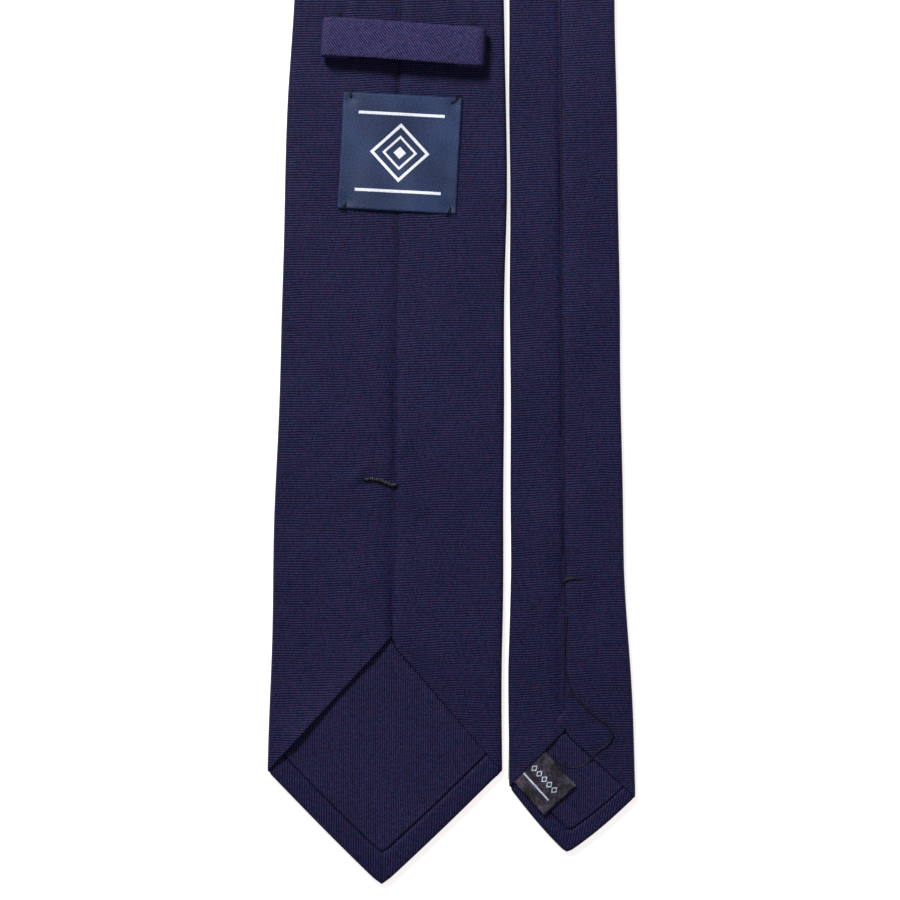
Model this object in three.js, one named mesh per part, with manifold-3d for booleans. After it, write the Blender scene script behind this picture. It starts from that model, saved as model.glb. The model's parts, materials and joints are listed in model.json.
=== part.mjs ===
// A necktie laid flat with its back up, folded at the neck by two mitre creases.
// The wide side and the narrow side lie next to each other, tips towards -Y, and the neck
// bridge lies over the upper ends of both. Every layer of cloth is a separate solid.

import * as THREE from 'three';
import Module from 'manifold-3d';
import { mergeVertices } from 'three/addons/utils/BufferGeometryUtils.js';

const wasm = await Module();
wasm.setup();

// Driving dimensions, in millimetres. A height is measured up a side from its own tip.
const TOTAL_LENGTH = 1480; // tip to tip, opened out
const WIDE_WIDTH = 80; // across the corners above the wide tip
const WIDE_MID_WIDTH = 72.2; // wide side at MID_HEIGHT
const NARROW_WIDTH = 44.2; // across the corners above the narrow tip
const NARROW_FLARE_WIDTH = 38.6; // narrow side where its flare begins
const NARROW_MID_WIDTH = 36.8; // narrow side at MID_HEIGHT
const NECK_WIDTH = 36; // the strip that goes round the neck
const MID_HEIGHT = 300; // where the mid widths are measured
const FLARE_HEIGHT = 115; // where the narrow side starts to flare
const NECK_RUN = 85; // straight strip between the taper and the wide crease
const TIP_STAGGER = 11.3; // how much higher the narrow tip lies
const TIP_GAP = 2.7; // between the two sides at their corners
const MID_GAP = 1; // between the two sides at MID_HEIGHT
const NECK_GAP = 8; // between the two strips at the neck
const WIDE_TIP_DRIFT = 12.9; // how far the wide tip lies left of its neck crease
const WIDE_MID_DRIFT = 6.8; // the same for its centre at MID_HEIGHT

const WIDE_CORNER = 39.6; // height of the wide corners
const WIDE_APEX = 86; // height where the wide back opens into the diamond
const NARROW_CORNER_LEFT = 24.6;
const NARROW_CORNER_RIGHT = 20.4;
const NARROW_APEX = 43;
const WIDE_HEM = 8.3; // cloth turned in along the wide tip
const NARROW_HEM = 6;
const WIDE_TIPPING_TOP = 125; // height that the wide tipping reaches under the flaps
const NARROW_TIPPING_TOP = 78;
const WIDE_SEAM_SHIFT = 1.8; // the seam, right of the centre line at the apex
const NARROW_SEAM_SHIFT = -1.5;
const WIDE_JOIN_RUN = 84; // from the wide crease down to the join of two cloth pieces
const NARROW_JOIN_RUN = 221;

const SILK = 0.5; // the folded outer cloth
const CANVAS = 1.1; // the wool interlining
const LINING = 0.4; // the tipping
const LAYER_GAP = 0.3; // between layers, and between pieces that meet
const SEAM_GAP = 0.6; // between the two back flaps
const SLIP_THREAD = 0.4; // long slip stitch
const SLIP_MARGIN = 4; // from its ends to the tipping and to the crease
const JOIN_THREAD = 0.3; // machine stitch of a join
const THREAD_GAP = 0.1; // round a join thread
const WIDE_TACK_THREAD = 1;
const WIDE_TACK_HEIGHT = 137.8;
const WIDE_TACK_SPAN = 11;
const WIDE_TACK_SHIFT = -4;
const WIDE_TACK_TILT = -2.2; // how far its right end is above its left
const WIDE_TACK_BOW = 0.3;
const NARROW_TACK_THREAD = 0.7;
const NARROW_TACK_HEIGHT = 93;
const NARROW_TACK_SPAN = 7.8;
const NARROW_TACK_SHIFT = 2;
const NARROW_TACK_TILT = -0.5;
const NARROW_TACK_BOW = 1.3;

const LABEL_LENGTH = 40.6;
const LABEL_WIDTH = 40;
const LABEL_THICKNESS = 0.4;
const LABEL_HEIGHT = 250.2;
const LABEL_SHIFT = 1.1; // right of the wide centre line
const LABEL_TURN = -3; // degrees
const LABEL_TACK = 1.8; // length of a corner tack
const LABEL_TACK_THREAD = 0.5;
const LABEL_TACK_INSET = 2.4; // from the label's corner

const LOOP_LENGTH = 56;
const LOOP_WIDTH = 13.6;
const LOOP_BAND = 0.9;
const LOOP_RETURN_THICKNESS = 0.7;
const LOOP_RETURN = 9; // how far each end is turned under
const LOOP_CLEAR = 4.65; // room for the narrow blade
const LOOP_HEIGHT = 289.4;
const LOOP_SHIFT = 2.2;
const LOOP_TURN = -3.9; // degrees
const LOOP_TACK = 4;
const LOOP_TACK_THREAD = 0.4;

const TAG_WIDTH = 15.6;
const TAG_LENGTH = 17.3;
const TAG_RIBBON = 0.35;
const TAG_FOLD_GAP = 0.3;
const TAG_ALONG = 8.7; // from the left corner to the middle of its sewn edge
const TAG_LIFT = 5; // degrees that the tag stands off the tipping

const SPARE_THREAD = 0.5; // the loose end of the slip stitch
const SPARE_STEPS = 60;
const SHORT_STEPS = 8; // along a short thread
const STATION = 40; // longest step along an outline
const OVERRUN = 5; // how far a cut runs past what it cuts
const SIDES = 8; // of a thread

const silkPaint = new THREE.MeshStandardMaterial({ color: 0x26264a, roughness: 0.55 });
const tippingPaint = new THREE.MeshStandardMaterial({ color: 0x24243f, roughness: 0.6 });
const canvasPaint = new THREE.MeshStandardMaterial({ color: 0xd8cfbd, roughness: 0.95 });
const labelPaint = new THREE.MeshStandardMaterial({ color: 0x25375a, roughness: 0.4 });
const loopPaint = new THREE.MeshStandardMaterial({ color: 0x3a385f, roughness: 0.5 });
const tagPaint = new THREE.MeshStandardMaterial({ color: 0x312b37, roughness: 0.45 });
const threadPaint = new THREE.MeshStandardMaterial({ color: 0x14141c, roughness: 0.7 });
for (const paint of [silkPaint, tippingPaint, canvasPaint, labelPaint, loopPaint, tagPaint, threadPaint]) {
  paint.metalness = 0;
}

// Heights of the layers above the face that the tie lies on.
const canvasBase = SILK + JOIN_THREAD + 2 * THREAD_GAP;
const canvasTop = canvasBase + CANVAS;
const hemBase = canvasTop + LAYER_GAP;
const hemTop = hemBase + SILK;
const flapBase = hemTop + LAYER_GAP;
const THICKNESS = flapBase + SILK;

const radians = THREE.MathUtils.degToRad;
const neckSpacing = NECK_WIDTH + NECK_GAP;
const wideSide = (TOTAL_LENGTH - neckSpacing + TIP_STAGGER) / 2;
const narrowSide = wideSide - TIP_STAGGER;

// A curve through [height, value] knots that runs level into its last knot.
function smooth(knots, y) {
  const slope = (a, b) => (knots[b][1] - knots[a][1]) / (knots[b][0] - knots[a][0]);
  const last = knots.length - 1;
  if (y <= knots[0][0]) {
    return knots[0][1] + slope(0, 1) * (y - knots[0][0]);
  }
  if (y >= knots[last][0]) {
    return knots[last][1];
  }
  const i = knots.findIndex((knot) => knot[0] > y) - 1;
  const span = knots[i + 1][0] - knots[i][0];
  const t = (y - knots[i][0]) / span;
  const startSlope = i === 0 ? slope(0, 1) : slope(i - 1, i + 1);
  const endSlope = i + 1 === last ? 0 : slope(i, i + 2);
  const rise = knots[i + 1][1] - knots[i][1];
  return (
    knots[i][1] +
    rise * t * t * (3 - 2 * t) +
    startSlope * span * t * (1 - t) * (1 - t) -
    endSlope * span * t * t * (1 - t)
  );
}

const point = (x, y) => new THREE.Vector2(x, y);

// A flat piece between two levels.
function slab(points, base, top) {
  const geometry = new THREE.ExtrudeGeometry(new THREE.Shape(points), {
    depth: top - base,
    bevelEnabled: false,
  });
  return geometry.translate(0, 0, base);
}

function solid(geometry) {
  const plain = geometry.clone();
  plain.deleteAttribute('normal');
  plain.deleteAttribute('uv');
  const merged = mergeVertices(plain, 1e-4);
  return new wasm.Manifold(
    new wasm.Mesh({
      numProp: 3,
      vertProperties: new Float32Array(merged.attributes.position.array),
      triVerts: new Uint32Array(merged.index.array),
    })
  );
}

// What is left of a block when the hollows are cut out of it.
function carve(block, hollows) {
  const left = hollows.map(solid).reduce((rest, hollow) => rest.subtract(hollow), solid(block));
  const mesh = left.getMesh();
  const geometry = new THREE.BufferGeometry();
  geometry.setAttribute('position', new THREE.BufferAttribute(mesh.vertProperties, 3));
  geometry.setIndex(new THREE.BufferAttribute(mesh.triVerts, 1));
  geometry.computeVertexNormals();
  return geometry;
}

function thread(points, diameter, steps) {
  const round = new THREE.Shape(
    Array.from({ length: SIDES }, (_, i) => {
      const turn = (2 * Math.PI * i) / SIDES;
      return point((diameter / 2) * Math.cos(turn), (diameter / 2) * Math.sin(turn));
    })
  );
  const path = new THREE.CatmullRomCurve3(points.map(([x, y, z]) => new THREE.Vector3(x, y, z)));
  return new THREE.ExtrudeGeometry(round, { extrudePath: path, steps, bevelEnabled: false });
}

function named(name, geometry, paint) {
  const mesh = new THREE.Mesh(geometry, paint);
  mesh.name = name;
  return mesh;
}

// One side of the tie, seen from its back with the centre line running up +Y.
// An offset is a function of height that gives a distance right of the centre line.
function makeSide({ halves, centres, seams, length, slant }) {
  const half = (y) => smooth(halves, y);
  const centre = (y) => smooth(centres, y);
  const seam = (y) => smooth(seams, y);
  const left = (inset) => (y) => inset - half(y);
  const right = (inset) => (y) => half(y) - inset;
  const seamLeft = (y) => seam(y) - SEAM_GAP / 2;
  const seamRight = (y) => seam(y) + SEAM_GAP / 2;

  const line = (offset, from, to) => {
    const steps = Math.ceil((to - from) / STATION);
    return Array.from({ length: steps + 1 }, (_, i) => {
      const y = from + ((to - from) * i) / steps;
      return point(centre(y) + offset(y), y);
    });
  };
  // The height at which a slanting cut that crosses the centre line at y meets an offset line.
  const cut = (y, lean) => (offset) => y + lean * offset(y);
  const band = (a, b, from, to, base, top) =>
    slab([...line(a, from(a), to(a)), ...line(b, from(b), to(b)).reverse()], base, top);

  const crease = cut(length - LAYER_GAP, slant);
  // The slit between the two back flaps.
  const slit = (from, to) =>
    band(seamLeft, seamRight, from, to, flapBase - LAYER_GAP, THICKNESS + OVERRUN);
  // The tube of cloth between two slanting cuts.
  const tube = (from, to) => {
    const before = (offset) => from(offset) - OVERRUN;
    const beyond = (offset) => to(offset) + OVERRUN;
    return carve(band(left(0), right(0), from, to, 0, THICKNESS), [
      band(left(SILK), right(SILK), before, beyond, SILK, flapBase),
      slit(before, beyond),
    ]);
  };
  return { half, centre, seam, left, right, seamLeft, seamRight, line, cut, band, crease, slit, tube };
}

// The pointed end of a side: corners, tip, turned-in hem and the flaps that open over it.
function makeEnd(side, { cornerLeft, cornerRight, apex, hem, tippingTop, join: joinHeight, slant }) {
  const width = side.half(cornerLeft);
  const at = (x, y) => point(side.centre(y) + x, y);
  // The V of the tip moved inwards, reaching to a distance `wall` from each edge.
  const vee = (inset, wall = 0) => {
    const riseLeft = (inset * Math.hypot(width, cornerLeft)) / width;
    const riseRight = (inset * Math.hypot(width, cornerRight)) / width;
    const x = (width * (riseLeft - riseRight)) / (cornerLeft + cornerRight);
    const share = (width - wall) / width;
    return [
      at(wall - width, cornerLeft * share + riseLeft),
      at(x, (cornerRight * x) / width + riseRight),
      at(width - wall, cornerRight * share + riseRight),
    ];
  };
  const { left, right, line } = side;
  const end = side.cut(joinHeight - LAYER_GAP, slant);
  const beyond = (offset) => end(offset) + OVERRUN;
  // The area inside a V, up between two lines that keep `wall` clear of the edges.
  const inside = (v, wall, top) => [
    ...v.slice().reverse(),
    ...line(left(wall), v[0].y, top(left(wall))).slice(1),
    ...line(right(wall), v[2].y, top(right(wall))).reverse().slice(0, -1),
  ];
  // The flaps' lower edges run from the corners to the apex, and the cut under them runs on.
  const edgeLeft = (apex - cornerLeft) / (width + side.seamLeft(apex));
  const edgeRight = (apex - cornerRight) / (width - side.seamRight(apex));
  const diamond = [
    at(-width - OVERRUN, cornerLeft - edgeLeft * OVERRUN),
    at(-width - OVERRUN, -OVERRUN),
    at(width + OVERRUN, -OVERRUN),
    at(width + OVERRUN, cornerRight - edgeRight * OVERRUN),
    at(side.seamRight(apex), apex),
    at(side.seamLeft(apex), apex),
  ];
  const outline = [at(0, 0), ...line(right(0), cornerRight, end(right(0)))];
  outline.push(...line(left(0), cornerLeft, end(left(0))).reverse());
  const slitFrom = () => apex - OVERRUN;
  const shell = carve(slab(outline, 0, THICKNESS), [
    slab(inside(vee(SILK, SILK), SILK, beyond), SILK, hemBase),
    slab(inside(vee(hem, SILK), SILK, beyond), hemBase - LAYER_GAP, flapBase),
    slab(inside(vee(-OVERRUN, SILK), SILK, beyond), hemTop, flapBase),
    slab(diamond, hemTop, THICKNESS + OVERRUN),
    side.slit(slitFrom, beyond),
  ]);

  const wall = SILK + LAYER_GAP;
  const canvas = slab(inside(vee(wall, wall), wall, side.crease), canvasBase, canvasTop);
  const lined = inside(vee(hem + LAYER_GAP, wall), wall, () => tippingTop);
  const tipping = slab(lined, hemBase, hemBase + LINING);
  return { shell, canvas, tipping };
}

// Thread along the seam, under the flaps.
function slipStitch(side, from, to) {
  const z = (canvasTop + flapBase) / 2;
  const points = side.line(side.seam, from, to).map((p) => [p.x, p.y, z]);
  return thread(points, SLIP_THREAD, points.length * 2);
}

// Thread across a side where two cloth pieces are joined, under the interlining.
function joinStitch(side, height, slant) {
  const wall = SILK + LAYER_GAP;
  const z = SILK + THREAD_GAP + JOIN_THREAD / 2;
  const ends = [side.left(wall), side.right(wall)].map((offset) => {
    const x = offset(height);
    return [side.centre(height) + x, height + slant * x, z];
  });
  const middle = ends[0].map((value, i) => (value + ends[1][i]) / 2);
  return thread([ends[0], middle, ends[1]], JOIN_THREAD, SHORT_STEPS);
}

// A bar tack: a short bowed thread over the seam.
function barTack(side, { height, span, shift, diameter, tilt, bow }) {
  const x = side.centre(height) + shift;
  const z = THICKNESS + THREAD_GAP + diameter / 2;
  const ends = [-1, 1].map((end) => [x + (end * span) / 2, height + (end * tilt) / 2, z]);
  return thread([ends[0], [x, height + bow, z], ends[1]], diameter, SHORT_STEPS);
}

// Wide side.
const wide = makeSide({
  halves: [
    [WIDE_CORNER, WIDE_WIDTH / 2],
    [MID_HEIGHT, WIDE_MID_WIDTH / 2],
    [wideSide - NECK_RUN, NECK_WIDTH / 2],
  ],
  centres: [
    [0, -WIDE_TIP_DRIFT],
    [MID_HEIGHT, -WIDE_MID_DRIFT],
    [wideSide - NECK_WIDTH, 0],
  ],
  seams: [
    [WIDE_APEX, WIDE_SEAM_SHIFT],
    [MID_HEIGHT, 0],
    [wideSide - NECK_RUN, 0],
  ],
  length: wideSide,
  slant: 1,
});
const wideJoin = wideSide - WIDE_JOIN_RUN;
const wideEnd = makeEnd(wide, {
  cornerLeft: WIDE_CORNER,
  cornerRight: WIDE_CORNER,
  apex: WIDE_APEX,
  hem: WIDE_HEM,
  tippingTop: WIDE_TIPPING_TOP,
  join: wideJoin,
  slant: 1,
});

const wideGroup = new THREE.Group();
wideGroup.add(
  named('wide_blade_shell', wideEnd.shell, silkPaint),
  named('neck_shell_wide_side', wide.tube(wide.cut(wideJoin, 1), wide.crease), silkPaint),
  named('wide_join_stitch', joinStitch(wide, wideJoin, 1), threadPaint),
  named('wide_interlining', wideEnd.canvas, canvasPaint),
  named('wide_tipping', wideEnd.tipping, tippingPaint),
  named(
    'wide_slip_stitch',
    slipStitch(wide, WIDE_TIPPING_TOP + SLIP_MARGIN, wideSide - SLIP_MARGIN),
    threadPaint
  ),
  named(
    'wide_bar_tack',
    barTack(wide, {
      height: WIDE_TACK_HEIGHT,
      span: WIDE_TACK_SPAN,
      shift: WIDE_TACK_SHIFT,
      diameter: WIDE_TACK_THREAD,
      tilt: WIDE_TACK_TILT,
      bow: WIDE_TACK_BOW,
    }),
    threadPaint
  )
);

// Woven label with a tack over each corner.
const label = new THREE.Group();
label.position.set(wide.centre(LABEL_HEIGHT) + LABEL_SHIFT, LABEL_HEIGHT, THICKNESS + LAYER_GAP);
label.rotation.z = radians(LABEL_TURN);
const labelPlate = named(
  'back_label', new THREE.BoxGeometry(LABEL_LENGTH, LABEL_WIDTH, LABEL_THICKNESS), labelPaint
);
labelPlate.position.z = LABEL_THICKNESS / 2;
label.add(labelPlate);
for (const [name, across, up] of [
  ['upper_left', -1, 1],
  ['upper_right', 1, 1],
  ['lower_left', -1, -1],
  ['lower_right', 1, -1],
]) {
  const z = LABEL_THICKNESS + THREAD_GAP + LABEL_TACK_THREAD / 2;
  const tack = named(
    `label_tack_${name}`,
    thread(
      [
        [-LABEL_TACK / 2, (-up * LABEL_TACK) / 2, 0],
        [0, (up * LABEL_TACK) / 2, 0],
        [LABEL_TACK / 2, (-up * LABEL_TACK) / 2, 0],
      ],
      LABEL_TACK_THREAD,
      SHORT_STEPS
    ),
    threadPaint
  );
  tack.position.set(
    across * (LABEL_LENGTH / 2 - LABEL_TACK_INSET), up * (LABEL_WIDTH / 2 - LABEL_TACK_INSET), z
  );
  label.add(tack);
}
wideGroup.add(label);

// Keeper loop: a flat band with both ends turned under. It hinges on its upper edge, which is
// where its group sits.
const loopTop = LOOP_RETURN_THICKNESS + LOOP_CLEAR + LOOP_BAND;
const loopRound = loopTop / 2;
const loopInner = LOOP_CLEAR / 2;
const loopEnd = LOOP_LENGTH / 2 - loopRound;
const loopReturnEnd = LOOP_LENGTH / 2 - LOOP_RETURN;
const loopShape = new THREE.Shape();
loopShape.moveTo(-loopReturnEnd, 0);
loopShape.lineTo(-loopEnd, 0);
loopShape.absarc(-loopEnd, loopRound, loopRound, -Math.PI / 2, Math.PI / 2, true);
loopShape.lineTo(loopEnd, loopTop);
loopShape.absarc(loopEnd, loopRound, loopRound, Math.PI / 2, -Math.PI / 2, true);
loopShape.lineTo(loopReturnEnd, 0);
loopShape.lineTo(loopReturnEnd, LOOP_RETURN_THICKNESS);
loopShape.lineTo(loopEnd, LOOP_RETURN_THICKNESS);
loopShape.absarc(loopEnd, LOOP_RETURN_THICKNESS + loopInner, loopInner, -Math.PI / 2, Math.PI / 2, false);
loopShape.lineTo(-loopEnd, LOOP_RETURN_THICKNESS + LOOP_CLEAR);
loopShape.absarc(
  -loopEnd, LOOP_RETURN_THICKNESS + loopInner, loopInner, Math.PI / 2, -Math.PI / 2, false
);
loopShape.lineTo(-loopReturnEnd, LOOP_RETURN_THICKNESS);
const loopGeometry = new THREE.ExtrudeGeometry(loopShape, {
  depth: LOOP_WIDTH,
  bevelEnabled: false,
  curveSegments: 8,
});
loopGeometry.rotateX(Math.PI / 2);
const loop = new THREE.Group();
const loopTurn = radians(LOOP_TURN);
loop.position.set(
  wide.centre(LOOP_HEIGHT) + LOOP_SHIFT - (LOOP_WIDTH / 2) * Math.sin(loopTurn),
  LOOP_HEIGHT + (LOOP_WIDTH / 2) * Math.cos(loopTurn),
  THICKNESS + LAYER_GAP
);
loop.rotation.z = loopTurn;
loop.add(named('keeper_loop', loopGeometry, loopPaint));
for (const [name, across] of [['left', -1], ['right', 1]]) {
  const x = across * (loopEnd - LOOP_TACK / 2);
  const y = LAYER_GAP + LOOP_TACK_THREAD / 2;
  const z = THREAD_GAP + LOOP_TACK_THREAD / 2 - LAYER_GAP;
  const path = [[x - LOOP_TACK / 2, y, z], [x, y, z], [x + LOOP_TACK / 2, y, z]];
  loop.add(named(`loop_tack_${name}`, thread(path, LOOP_TACK_THREAD, SHORT_STEPS), threadPaint));
}
wideGroup.add(loop);

// Narrow side.
const tipSpacing = WIDE_WIDTH / 2 + TIP_GAP + NARROW_WIDTH / 2;
const midSpacing = WIDE_MID_WIDTH / 2 + MID_GAP + NARROW_MID_WIDTH / 2;
const narrow = makeSide({
  halves: [
    [NARROW_CORNER_LEFT, NARROW_WIDTH / 2],
    [FLARE_HEIGHT, NARROW_FLARE_WIDTH / 2],
    [MID_HEIGHT, NARROW_MID_WIDTH / 2],
    [narrowSide - NECK_WIDTH, NECK_WIDTH / 2],
  ],
  centres: [
    [0, tipSpacing - WIDE_TIP_DRIFT - neckSpacing],
    [MID_HEIGHT, midSpacing - WIDE_MID_DRIFT - neckSpacing],
    [narrowSide - NECK_WIDTH, 0],
  ],
  seams: [
    [NARROW_APEX, NARROW_SEAM_SHIFT],
    [MID_HEIGHT, NARROW_SEAM_SHIFT / 2],
    [narrowSide - NECK_WIDTH, 0],
  ],
  length: narrowSide,
  slant: -1,
});
const narrowJoin = narrowSide - NARROW_JOIN_RUN;
const narrowEnd = makeEnd(narrow, {
  cornerLeft: NARROW_CORNER_LEFT,
  cornerRight: NARROW_CORNER_RIGHT,
  apex: NARROW_APEX,
  hem: NARROW_HEM,
  tippingTop: NARROW_TIPPING_TOP,
  join: narrowJoin,
  slant: -1,
});
const narrowGroup = new THREE.Group();
narrowGroup.position.set(neckSpacing, TIP_STAGGER, 0);
narrowGroup.add(
  named('narrow_blade_shell', narrowEnd.shell, silkPaint),
  named(
    'neck_shell_narrow_side', narrow.tube(narrow.cut(narrowJoin, -1), narrow.crease), silkPaint
  ),
  named('narrow_join_stitch', joinStitch(narrow, narrowJoin, -1), threadPaint),
  named('narrow_interlining', narrowEnd.canvas, canvasPaint),
  named('narrow_tipping', narrowEnd.tipping, tippingPaint),
  named(
    'narrow_slip_stitch',
    slipStitch(narrow, NARROW_TIPPING_TOP + SLIP_MARGIN, narrowSide - SLIP_MARGIN),
    threadPaint
  ),
  named(
    'narrow_bar_tack',
    barTack(narrow, {
      height: NARROW_TACK_HEIGHT,
      span: NARROW_TACK_SPAN,
      shift: NARROW_TACK_SHIFT,
      diameter: NARROW_TACK_THREAD,
      tilt: NARROW_TACK_TILT,
      bow: NARROW_TACK_BOW,
    }),
    threadPaint
  )
);

// Care tag: a folded ribbon sewn along the left flap's diagonal edge. Its group sits on that
// edge, at the tag's upper face, with the tag reaching along -Y.
const corner = point(narrow.centre(NARROW_CORNER_LEFT) - NARROW_WIDTH / 2, NARROW_CORNER_LEFT);
const apex = point(narrow.centre(NARROW_APEX) + narrow.seamLeft(NARROW_APEX), NARROW_APEX);
const diagonal = apex.clone().sub(corner).normalize();
const tagThickness = 2 * TAG_RIBBON + TAG_FOLD_GAP;
const tagRound = tagThickness / 2;
const tagShape = new THREE.Shape();
tagShape.moveTo(0, 0);
tagShape.lineTo(tagRound - TAG_LENGTH, 0);
tagShape.absarc(tagRound - TAG_LENGTH, -tagRound, tagRound, Math.PI / 2, -Math.PI / 2, false);
tagShape.lineTo(0, -tagThickness);
tagShape.lineTo(0, TAG_RIBBON - tagThickness);
tagShape.lineTo(tagRound - TAG_LENGTH, TAG_RIBBON - tagThickness);
tagShape.absarc(tagRound - TAG_LENGTH, -tagRound, TAG_FOLD_GAP / 2, -Math.PI / 2, Math.PI / 2, true);
tagShape.lineTo(0, -TAG_RIBBON);
const tagGeometry = new THREE.ExtrudeGeometry(tagShape, {
  depth: TAG_WIDTH,
  bevelEnabled: false,
  curveSegments: 6,
});
const alongX = new THREE.Vector3(1, 0, 0);
const alongY = new THREE.Vector3(0, 1, 0);
const alongZ = new THREE.Vector3(0, 0, 1);
tagGeometry.applyMatrix4(new THREE.Matrix4().makeBasis(alongY, alongZ, alongX));
tagGeometry.translate(-TAG_WIDTH / 2, 0, 0);
const tag = named('care_tag', tagGeometry, tagPaint);
tag.rotation.x = -radians(TAG_LIFT);
const tagGroup = new THREE.Group();
tagGroup.position.set(
  corner.x + diagonal.x * TAG_ALONG + diagonal.y * LAYER_GAP,
  corner.y + diagonal.y * TAG_ALONG - diagonal.x * LAYER_GAP,
  hemTop + LAYER_GAP + tagThickness
);
tagGroup.rotation.z = diagonal.angle();
tagGroup.add(tag);
narrowGroup.add(tagGroup);

// Loose end of the slip stitch: it comes out of the seam, wanders over the right flap, drops
// on to the tipping and goes back in at the apex.
// [across from the apex, height above the apex, 0 on the flap to 1 on the tipping]
const SPARE_ROUTE = [
  [0.6, 37.9, 0], [-0.1, 28.8, 0], [-0.3, 22.3, 0], [0.6, 17, 0], [1.8, 13, 0], [3.3, 10.2, 0],
  [5.7, 7.6, 0], [8.6, 4.9, 0], [11.7, 2.3, 0], [15.3, -0.5, 0], [16, -2.6, 0], [15, -5.4, 0],
  [11.7, -8.1, 0], [10, -9.9, 0.3], [7, -13, 1], [3.1, -14.3, 1], [-0.1, -13.9, 1],
  [-2.9, -12, 1], [-4.1, -8.8, 1], [-3.7, -5.7, 1], [-2.1, -3.4, 1], [-1.1, -2.2, 1],
];
const onFlap = THICKNESS + THREAD_GAP + SPARE_THREAD / 2;
const onTipping = hemTop + THREAD_GAP + SPARE_THREAD / 2;
const apexX = narrow.centre(NARROW_APEX) + narrow.seam(NARROW_APEX);
narrowGroup.add(
  named(
    'spare_thread',
    thread(
      SPARE_ROUTE.map(([x, y, drop]) => [
        apexX + x, NARROW_APEX + y, THREE.MathUtils.lerp(onFlap, onTipping, drop),
      ]),
      SPARE_THREAD,
      SPARE_STEPS
    ),
    threadPaint
  )
);

// Neck bridge: the strip between the creases, front side up, so its layers run downwards.
const bridge = makeSide({
  halves: [[0, NECK_WIDTH / 2], [neckSpacing, NECK_WIDTH / 2]],
  centres: [[0, 0], [neckSpacing, 0]],
  seams: [[0, 0], [neckSpacing, 0]],
  length: neckSpacing,
  slant: -1,
});
const bridgeStart = bridge.cut(LAYER_GAP, 1);
const bridgeWall = SILK + LAYER_GAP;
const bridgeGroup = new THREE.Group();
bridgeGroup.add(
  named('neck_shell_bridge', bridge.tube(bridgeStart, bridge.crease), silkPaint),
  named(
    'bridge_interlining',
    bridge.band(
      bridge.left(bridgeWall), bridge.right(bridgeWall), bridgeStart, bridge.crease, canvasBase,
      canvasTop
    ),
    canvasPaint
  ),
  named('bridge_slip_stitch', slipStitch(bridge, SLIP_MARGIN, neckSpacing - SLIP_MARGIN), threadPaint)
);
bridgeGroup.quaternion.setFromRotationMatrix(
  new THREE.Matrix4().makeBasis(alongY, alongX, alongZ.clone().negate())
);
bridgeGroup.position.set(0, wideSide, 2 * THICKNESS + LAYER_GAP);

// The origin is the middle of the underside of the whole tie.
const tie = new THREE.Group();
tie.add(wideGroup, narrowGroup, bridgeGroup);
const bounds = new THREE.Box3().setFromObject(tie);
const middle = bounds.getCenter(new THREE.Vector3());
tie.position.set(-middle.x, -middle.y, -bounds.min.z);

const group = new THREE.Group();
group.add(tie);

export default group;
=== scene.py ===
"""A necktie lying flat with its back up: ribbed silk, tipped ends, label, keeper loop and loose thread."""

import json
import math

import bmesh
import bpy
import numpy as np
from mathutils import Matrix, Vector


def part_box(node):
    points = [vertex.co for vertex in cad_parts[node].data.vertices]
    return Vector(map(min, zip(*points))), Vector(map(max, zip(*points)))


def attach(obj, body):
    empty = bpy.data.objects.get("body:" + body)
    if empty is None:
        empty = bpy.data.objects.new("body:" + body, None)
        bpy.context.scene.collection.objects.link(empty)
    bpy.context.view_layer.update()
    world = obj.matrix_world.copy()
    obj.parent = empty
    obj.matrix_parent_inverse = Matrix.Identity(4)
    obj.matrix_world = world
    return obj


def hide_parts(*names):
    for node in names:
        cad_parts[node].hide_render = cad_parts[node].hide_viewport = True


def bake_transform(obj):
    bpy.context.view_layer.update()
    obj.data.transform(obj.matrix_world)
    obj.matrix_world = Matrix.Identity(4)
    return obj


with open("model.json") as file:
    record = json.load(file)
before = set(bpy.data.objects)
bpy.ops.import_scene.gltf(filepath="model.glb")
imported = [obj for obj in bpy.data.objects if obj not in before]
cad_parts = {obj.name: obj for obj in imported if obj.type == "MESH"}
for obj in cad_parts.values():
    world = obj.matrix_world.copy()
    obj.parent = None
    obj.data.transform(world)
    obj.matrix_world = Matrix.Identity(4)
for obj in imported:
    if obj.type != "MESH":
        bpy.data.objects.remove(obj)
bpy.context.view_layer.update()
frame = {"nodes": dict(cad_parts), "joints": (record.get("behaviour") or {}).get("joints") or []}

MM = 0.001
# Each side's own sizes, in metres. Heights are up from its tip, and a pair is left then right.
WIDE = {
    "tip_shift": (0, -0.0009),
    "corners": (0.0396, 0.0396),
    "apex": 0.086,  # where the two flaps part
    "overlap": 0.0024,  # how much lower the right flap's edge starts than the left one's
    "bulge": 0.0004,  # how far the V's edges bow outwards
    "hem": 0.0078,
    "lining_top": 0.125,
    "seam_shift": (1.8, 0, 214),  # mm right of the middle at the apex, then at this many mm above it
}
NARROW = {
    "tip_shift": (-0.0014, -0.0011),
    "corners": (0.0234, 0.0196),
    "apex": 0.043,
    "overlap": 0.0016,
    "bulge": 0.0009,
    "hem": 0.0055,
    "lining_top": 0.078,
    "seam_shift": (-1.5, -0.75, 257),
}
EDGE_ROLL = 1.1 * MM  # how far the fold at a side edge takes to turn over
HEM_ROLL = 0.9 * MM  # the same for the fold along a hem
TURN = 0.28 * MM  # radius of a folded cloth edge
TURN_UNDER = 4 * MM  # cloth folded under at a flap's edge
SILK = 0.3 * MM  # thickness of the cloth
TIP_ROUND = 0.8 * MM  # how blunt the point of the V is
SEAM_SLIT = 0.56 * MM  # between the lips of the two flaps
RIB = 0.85 * MM  # pitch of the silk's ribs
TIPPING_RIB = 0.78 * MM
CREASE_BULGE = 2.2 * MM  # how far a neck crease stands out past its fold line

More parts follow.
